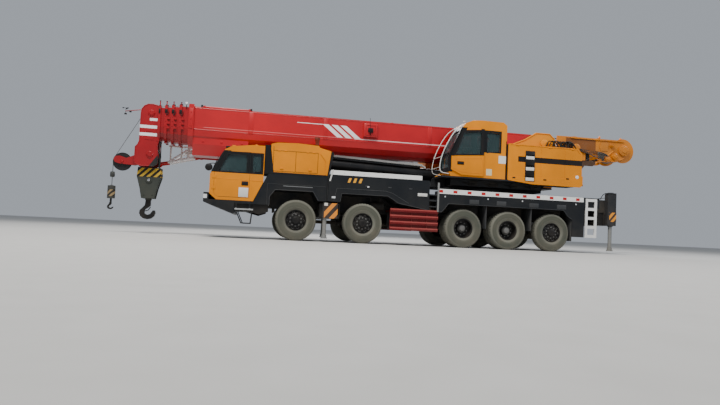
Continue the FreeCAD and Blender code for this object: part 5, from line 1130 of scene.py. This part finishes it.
for s in (1, -1):
    lathe([(0.2502, -0.022 * s), (0.272, -0.022 * s), (0.272, -0.017 * s), (0.2525, -0.0105 * s),
           (0.2502, -0.0105 * s)], (tip_x, 0, tip_z), "Y", 48, True)
    for a, b in around(6, 0.15):
        lathe([(0.028, 0.0225 * s), (0.04, 0.0235 * s), (0.04, 0.022 * s), (0.028, 0.0218 * s)],
              (tip_x + a, 0, tip_z + b), "Y", 16, True)
fitted("sheave_rims", sheave_steel, "boom_head")
bpy.data.objects.remove(groove)
ROPE_OUT = 0.2515
for y in SHEAVE_Y:
    foot = 2.67 if abs(y) < 0.1 else 2.35
    for out in (-ROPE_OUT, ROPE_OUT):
        bar([(7.44 + out, 3.6), (7.42 + out, foot)], y, 0.008, sides=2)
bar([(6.4, 3.968), (7.2, 3.893), (7.36, 3.852), (7.44, 3.853)], 0, 0.008, sides=2)
arc = [(tip_x + 0.262 * math.cos(a), 0.0, tip_z + 0.262 * math.sin(a)) for a in map(math.radians, (24, 20))]
pipe([(7.44, 0.08, 3.853), (7.54, 0.08, 3.835), (7.62, 0.06, 3.77), (8.4596, 0, 2.2462)] + arc, 0.008,
     sides=2)
fitted("head_ropes", rope_steel, "boom_head")
MAST = Vector((8.17, 0.3, 3.7))
pipe([MAST - Vector((0, 0, 0.16)), MAST], 0.006)
lathe([(0, 0.03), (0.03, 0.022), (0.035, 0), (0.03, -0.022), (0, -0.03)], (8.04, 0.295, 3.6), "Z", 16)
for a, b in around(3, 0.075, math.radians(25)):
    cup = MAST + Vector((a, b, 0))
    pipe([MAST, cup], 0.004)
    lathe([(0, -0.028), (0.016, -0.024), (0.028, 0.0), (0.025, 0.0), (0.014, -0.02), (0, -0.024)], cup, "Z",
          14)
slab((8.135, 0.29, 3.5), (8.205, 0.31, 3.545), 0.004)
lathe([(0, 0.02), (0.022, 0.016), (0.026, 0.0)], (7.2, 0.33, 3.978), "Z", 12)
for side in (1, -1):
    slab((7.175, 0.385 * side, 3.6), (7.225, 0.41 * side, 3.74), 0.006)
    slab((7.165, 0.24 * side, 3.822), (7.235, 0.34 * side, 3.86), 0.006)
fitted("wind_gauge", trim_black, "boom_head")

# Stowed lattice jib: welded tube chords and lacing in red and white bays, pinned along the far side.
# White bars carry its thin end on behind the boom head.
jib_paint = painted("jib_red_paint", (0.42, 0.008, 0.01), gloss=0.4, dust=0.12, top=3.4)
sprayed(jib_paint, WHITE, x=(-1.1, 7.2), slant=0.0001, repeat=(1.56, 0.78))
wear("stowed_jib", jib_paint)
for y in (-1.11, -0.63):
    bar([(6.97, 2.262), (7.32, 2.19)], y, 0.034)
    lathe([(0, 0.05), (0.06, 0.05), (0.075, 0.03), (0.075, -0.03), (0.06, -0.05), (0, -0.05)],
          (7.33, y, 2.187), "Y", 20)
pipe([(7.33, -1.14, 2.187), (7.33, -0.6, 2.187)], 0.02)
for x in (-0.96, 1.36, 3.7, 6.05):
    for y in (-1.11, -0.63):
        for z in (2.5, 2.94):
            band((x, y, z), 0.039, 0.055, 0.035, steps=16)
fitted("jib_end_and_sleeves", jib_paint, "boom")
for x, low, high in ((6.42, 2.42, 2.8), (6.62, 2.36, 2.78), (6.95, 2.32, 2.8)):
    slab((x - 0.025, -0.66, low), (x + 0.025, -0.6, high), 0.008)
slab((6.18, -0.66, 2.55), (6.52, -0.61, 2.69), 0.01)
slab((6.3, -0.67, 2.74), (7.02, -0.6, 2.79), 0.008)
fitted("jib_white_posts", plate_white, "boom")

# Luffing cylinder: black barrel with a gland ring and a white conduit along it, bright chromed rod.
# Both ends turn on pins with greased caps.
cylinder_paint = painted("cylinder_black_paint", (0.008, 0.009, 0.011), gloss=0.28, dust=0.15, top=3.4,
                         coat=0.3)
wear("luff_barrel", cylinder_paint)
rod_chrome = painted("rod_chrome", (0.7, 0.71, 0.72), gloss=0.1, dust=0.1, top=4.0, metal=1.0, bump=0.01)
wear("luff_rod", rod_chrome)
CYLINDER_FOOT = (-2.3, 0, 2.3)
lean = Matrix.Translation(CYLINDER_FOOT) @ Matrix.Rotation(-math.atan2(0.2, 5.4), 4, "Y")
lathe([(0.2005, -0.05), (0.222, -0.045), (0.222, 0.045), (0.2005, 0.05)], (4.93, 0, 0), "X", 48, True)
lathe([(0.2005, -0.03), (0.212, -0.025), (0.212, 0.025), (0.2005, 0.03)], (0.45, 0, 0), "X", 48, True)
for y, z in around(12, 0.16):
    bolt((4.985, y, z), 0.012, 0.014, 0.014, "X")
for x in (0.9, 2.2, 3.6):
    band((x, 0, 0), 0.2005, 0.208, 0.02)
fitted("barrel_rings", cylinder_paint, "luff_barrel", place=lean)
slab((1.3, 0.112, 0.169), (4.36, 0.19, 0.25), 0.008)
fitted("barrel_conduit_web", cylinder_paint, "luff_barrel", place=lean)
bar([(1.25, 0.27), (4.34, 0.27)], 0.155, 0.05)
bar([(4.3, 0.265), (4.42, 0.22)], 0.155, 0.03)
bar([(1.25, 0.265), (1.12, 0.21)], 0.155, 0.03)
for x in (1.5, 2.4, 3.3, 4.1):
    band((x, 0.155, 0.27), 0.049, 0.055, 0.02, steps=20)
fitted("barrel_conduit", plate_white, "luff_barrel", place=lean)

# Hook blocks: cast cheeks over three sheaves with yellow and black bands, forged hooks with a safety latch.
# Pins with end plates and bolts; the small block is a round weight with the same bands.
hook_paint = painted("hook_green_grey_paint", (0.04, 0.046, 0.04), gloss=0.45, dust=0.12, top=2.6)
sprayed(hook_paint, (0.008, 0.009, 0.009), y=(-0.115, 0.115), x=(7.0, 7.8), z=(1.3, 2.0))
sprayed(hook_paint, (0.52, 0.33, 0.03), z=(1.7, 1.96), out_y=0.118, x=(7.0, 7.8))
sprayed(hook_paint, (0.012, 0.012, 0.012), z=(1.7, 1.96), out_y=0.118, x=(7.0, 7.8), slant=-1.0,
        repeat=(0.2, 0.1))
sprayed(hook_paint, (0.012, 0.012, 0.012), z=(0.3, 1.02), x=(7.0, 7.8))
wear("main_hook", hook_paint)
small_paint = painted("small_hook_paint", (0.045, 0.048, 0.046), gloss=0.45, dust=0.12, top=2.6)
sprayed(small_paint, (0.28, 0.2, 0.1), z=(1.06, 1.26), x=(8.3, 8.7))
sprayed(small_paint, (0.02, 0.02, 0.02), z=(1.06, 1.26), x=(8.3, 8.7), slant=-1.0, repeat=(0.16, 0.08))
sprayed(small_paint, (0.012, 0.012, 0.012), z=(0.5, 0.98))
wear("small_hook", small_paint)
CHEEK_EDGE = [(7.1, 1.965), (7.085, 1.7), (7.183, 1.352), (7.243, 1.065), (7.597, 1.065), (7.657, 1.352),
              (7.755, 1.7), (7.74, 1.965)]
HOOK_X, PIN_Z = 7.42, 1.6
for side in (1, -1):
    bar(CHEEK_EDGE, 0.158 * side, 0.01, closed=True)
    lathe([(0, 0.022 * side), (0.05, 0.022 * side), (0.06, 0.008 * side), (0.095, 0.006 * side), (0.1, 0.0)],
          (HOOK_X, 0.168 * side, PIN_Z), "Y", 28)
    for a, b in around(4, 0.08, math.radians(45)):
        bolt((HOOK_X + a, 0.174 * side, PIN_Z + b), 0.01, 0.011, 0.01 * side)
    for x, z in ((7.18, 1.9), (7.66, 1.9), (7.3, 1.16), (7.54, 1.16)):
        bolt((x, 0.1595 * side, z), 0.018, 0.021, 0.014 * side)
lathe([(0.056, -0.04), (0.088, -0.04), (0.095, -0.025), (0.095, 0.03), (0.085, 0.04), (0.056, 0.04)],
      (HOOK_X, 0, 1.035), "Z", 28, True)
bar([(7.345, 0.8), (7.41, 0.7), (7.52, 0.66), (7.57, 0.675)], 0, 0.014)
fitted("hook_block_edges", hook_paint, "main_hook")
for side in (1, -1):
    lathe([(0, 0.007 * side), (0.03, 0.006 * side), (0.038, 0.0)], (HOOK_X, 0.1895 * side, PIN_Z), "Y", 24)
fitted("hook_block_pin_caps", rod_chrome, "main_hook")
for y in (-0.08, 0.0, 0.08):
    for s in (1, -1):
        lathe([(0.2302, 0.026 * s), (0.242, 0.026 * s), (0.242, 0.019 * s), (0.2302, 0.014 * s)],
              (HOOK_X, y, PIN_Z), "Y", 40, True)
fitted("hook_block_sheave_rims", sheave_steel, "main_hook")
SMALL_X = 8.489
lathe([(0.061, -0.06), (0.068, -0.05), (0.068, 0.05), (0.061, 0.06)], (SMALL_X, 0, 1.72), "Z", 24, True)
lathe([(0, 0.02), (0.03, 0.02), (0.06, 0.005), (0.1, 0.0)], (SMALL_X, 0, 1.38), "Z", 24)
bar([(8.455, 0.845), (8.5, 0.79), (8.535, 0.765)], 0, 0.007)
for a, b in around(4, 0.106, math.radians(45)):
    slab((SMALL_X + a - 0.004, b - 0.004, 1.01), (SMALL_X + a + 0.004, b + 0.004, 1.37), 0)
fitted("small_block_fittings", small_paint, "small_hook")

# Window panes: tinted safety glass in the fixed frames and in both doors.
# A faint film of dust roughens the surface in patches.
glass, tree, shader = new_material("tinted_glass")
spot = add_node(tree, "TexCoord").outputs["Object"]
film = add_node(tree, "TexNoise", {"Vector": spot, "Scale": 2.5}).outputs["Fac"]
dull = add_node(tree, "MapRange", {"Value": film, "To Min": 0.03, "To Max": 0.12})
feed(tree, shader, {"Base Color": add_ramp(tree, film, (0.02, 0.045, 0.048), (0.05, 0.1, 0.105)),
                    "Roughness": dull.outputs["Result"], "Specular IOR Level": 0.9, "Alpha": 0.4})
wear("cab_glass", glass)
wear("operator_glass", glass)
plate([(4.522, 1.882), (5.338, 1.882), (5.09, 2.403), (4.522, 2.413)], 1.452, 0.005, edge=0.001)
fitted("cab_door_pane", glass, "cab_door")
plate([(-2.568, 2.922), (-1.732, 2.872), (-1.975, 3.566), (-2.568, 3.648)], 1.4605, 0.005, edge=0.001)
fitted("operator_door_pane", glass, "operator_door")
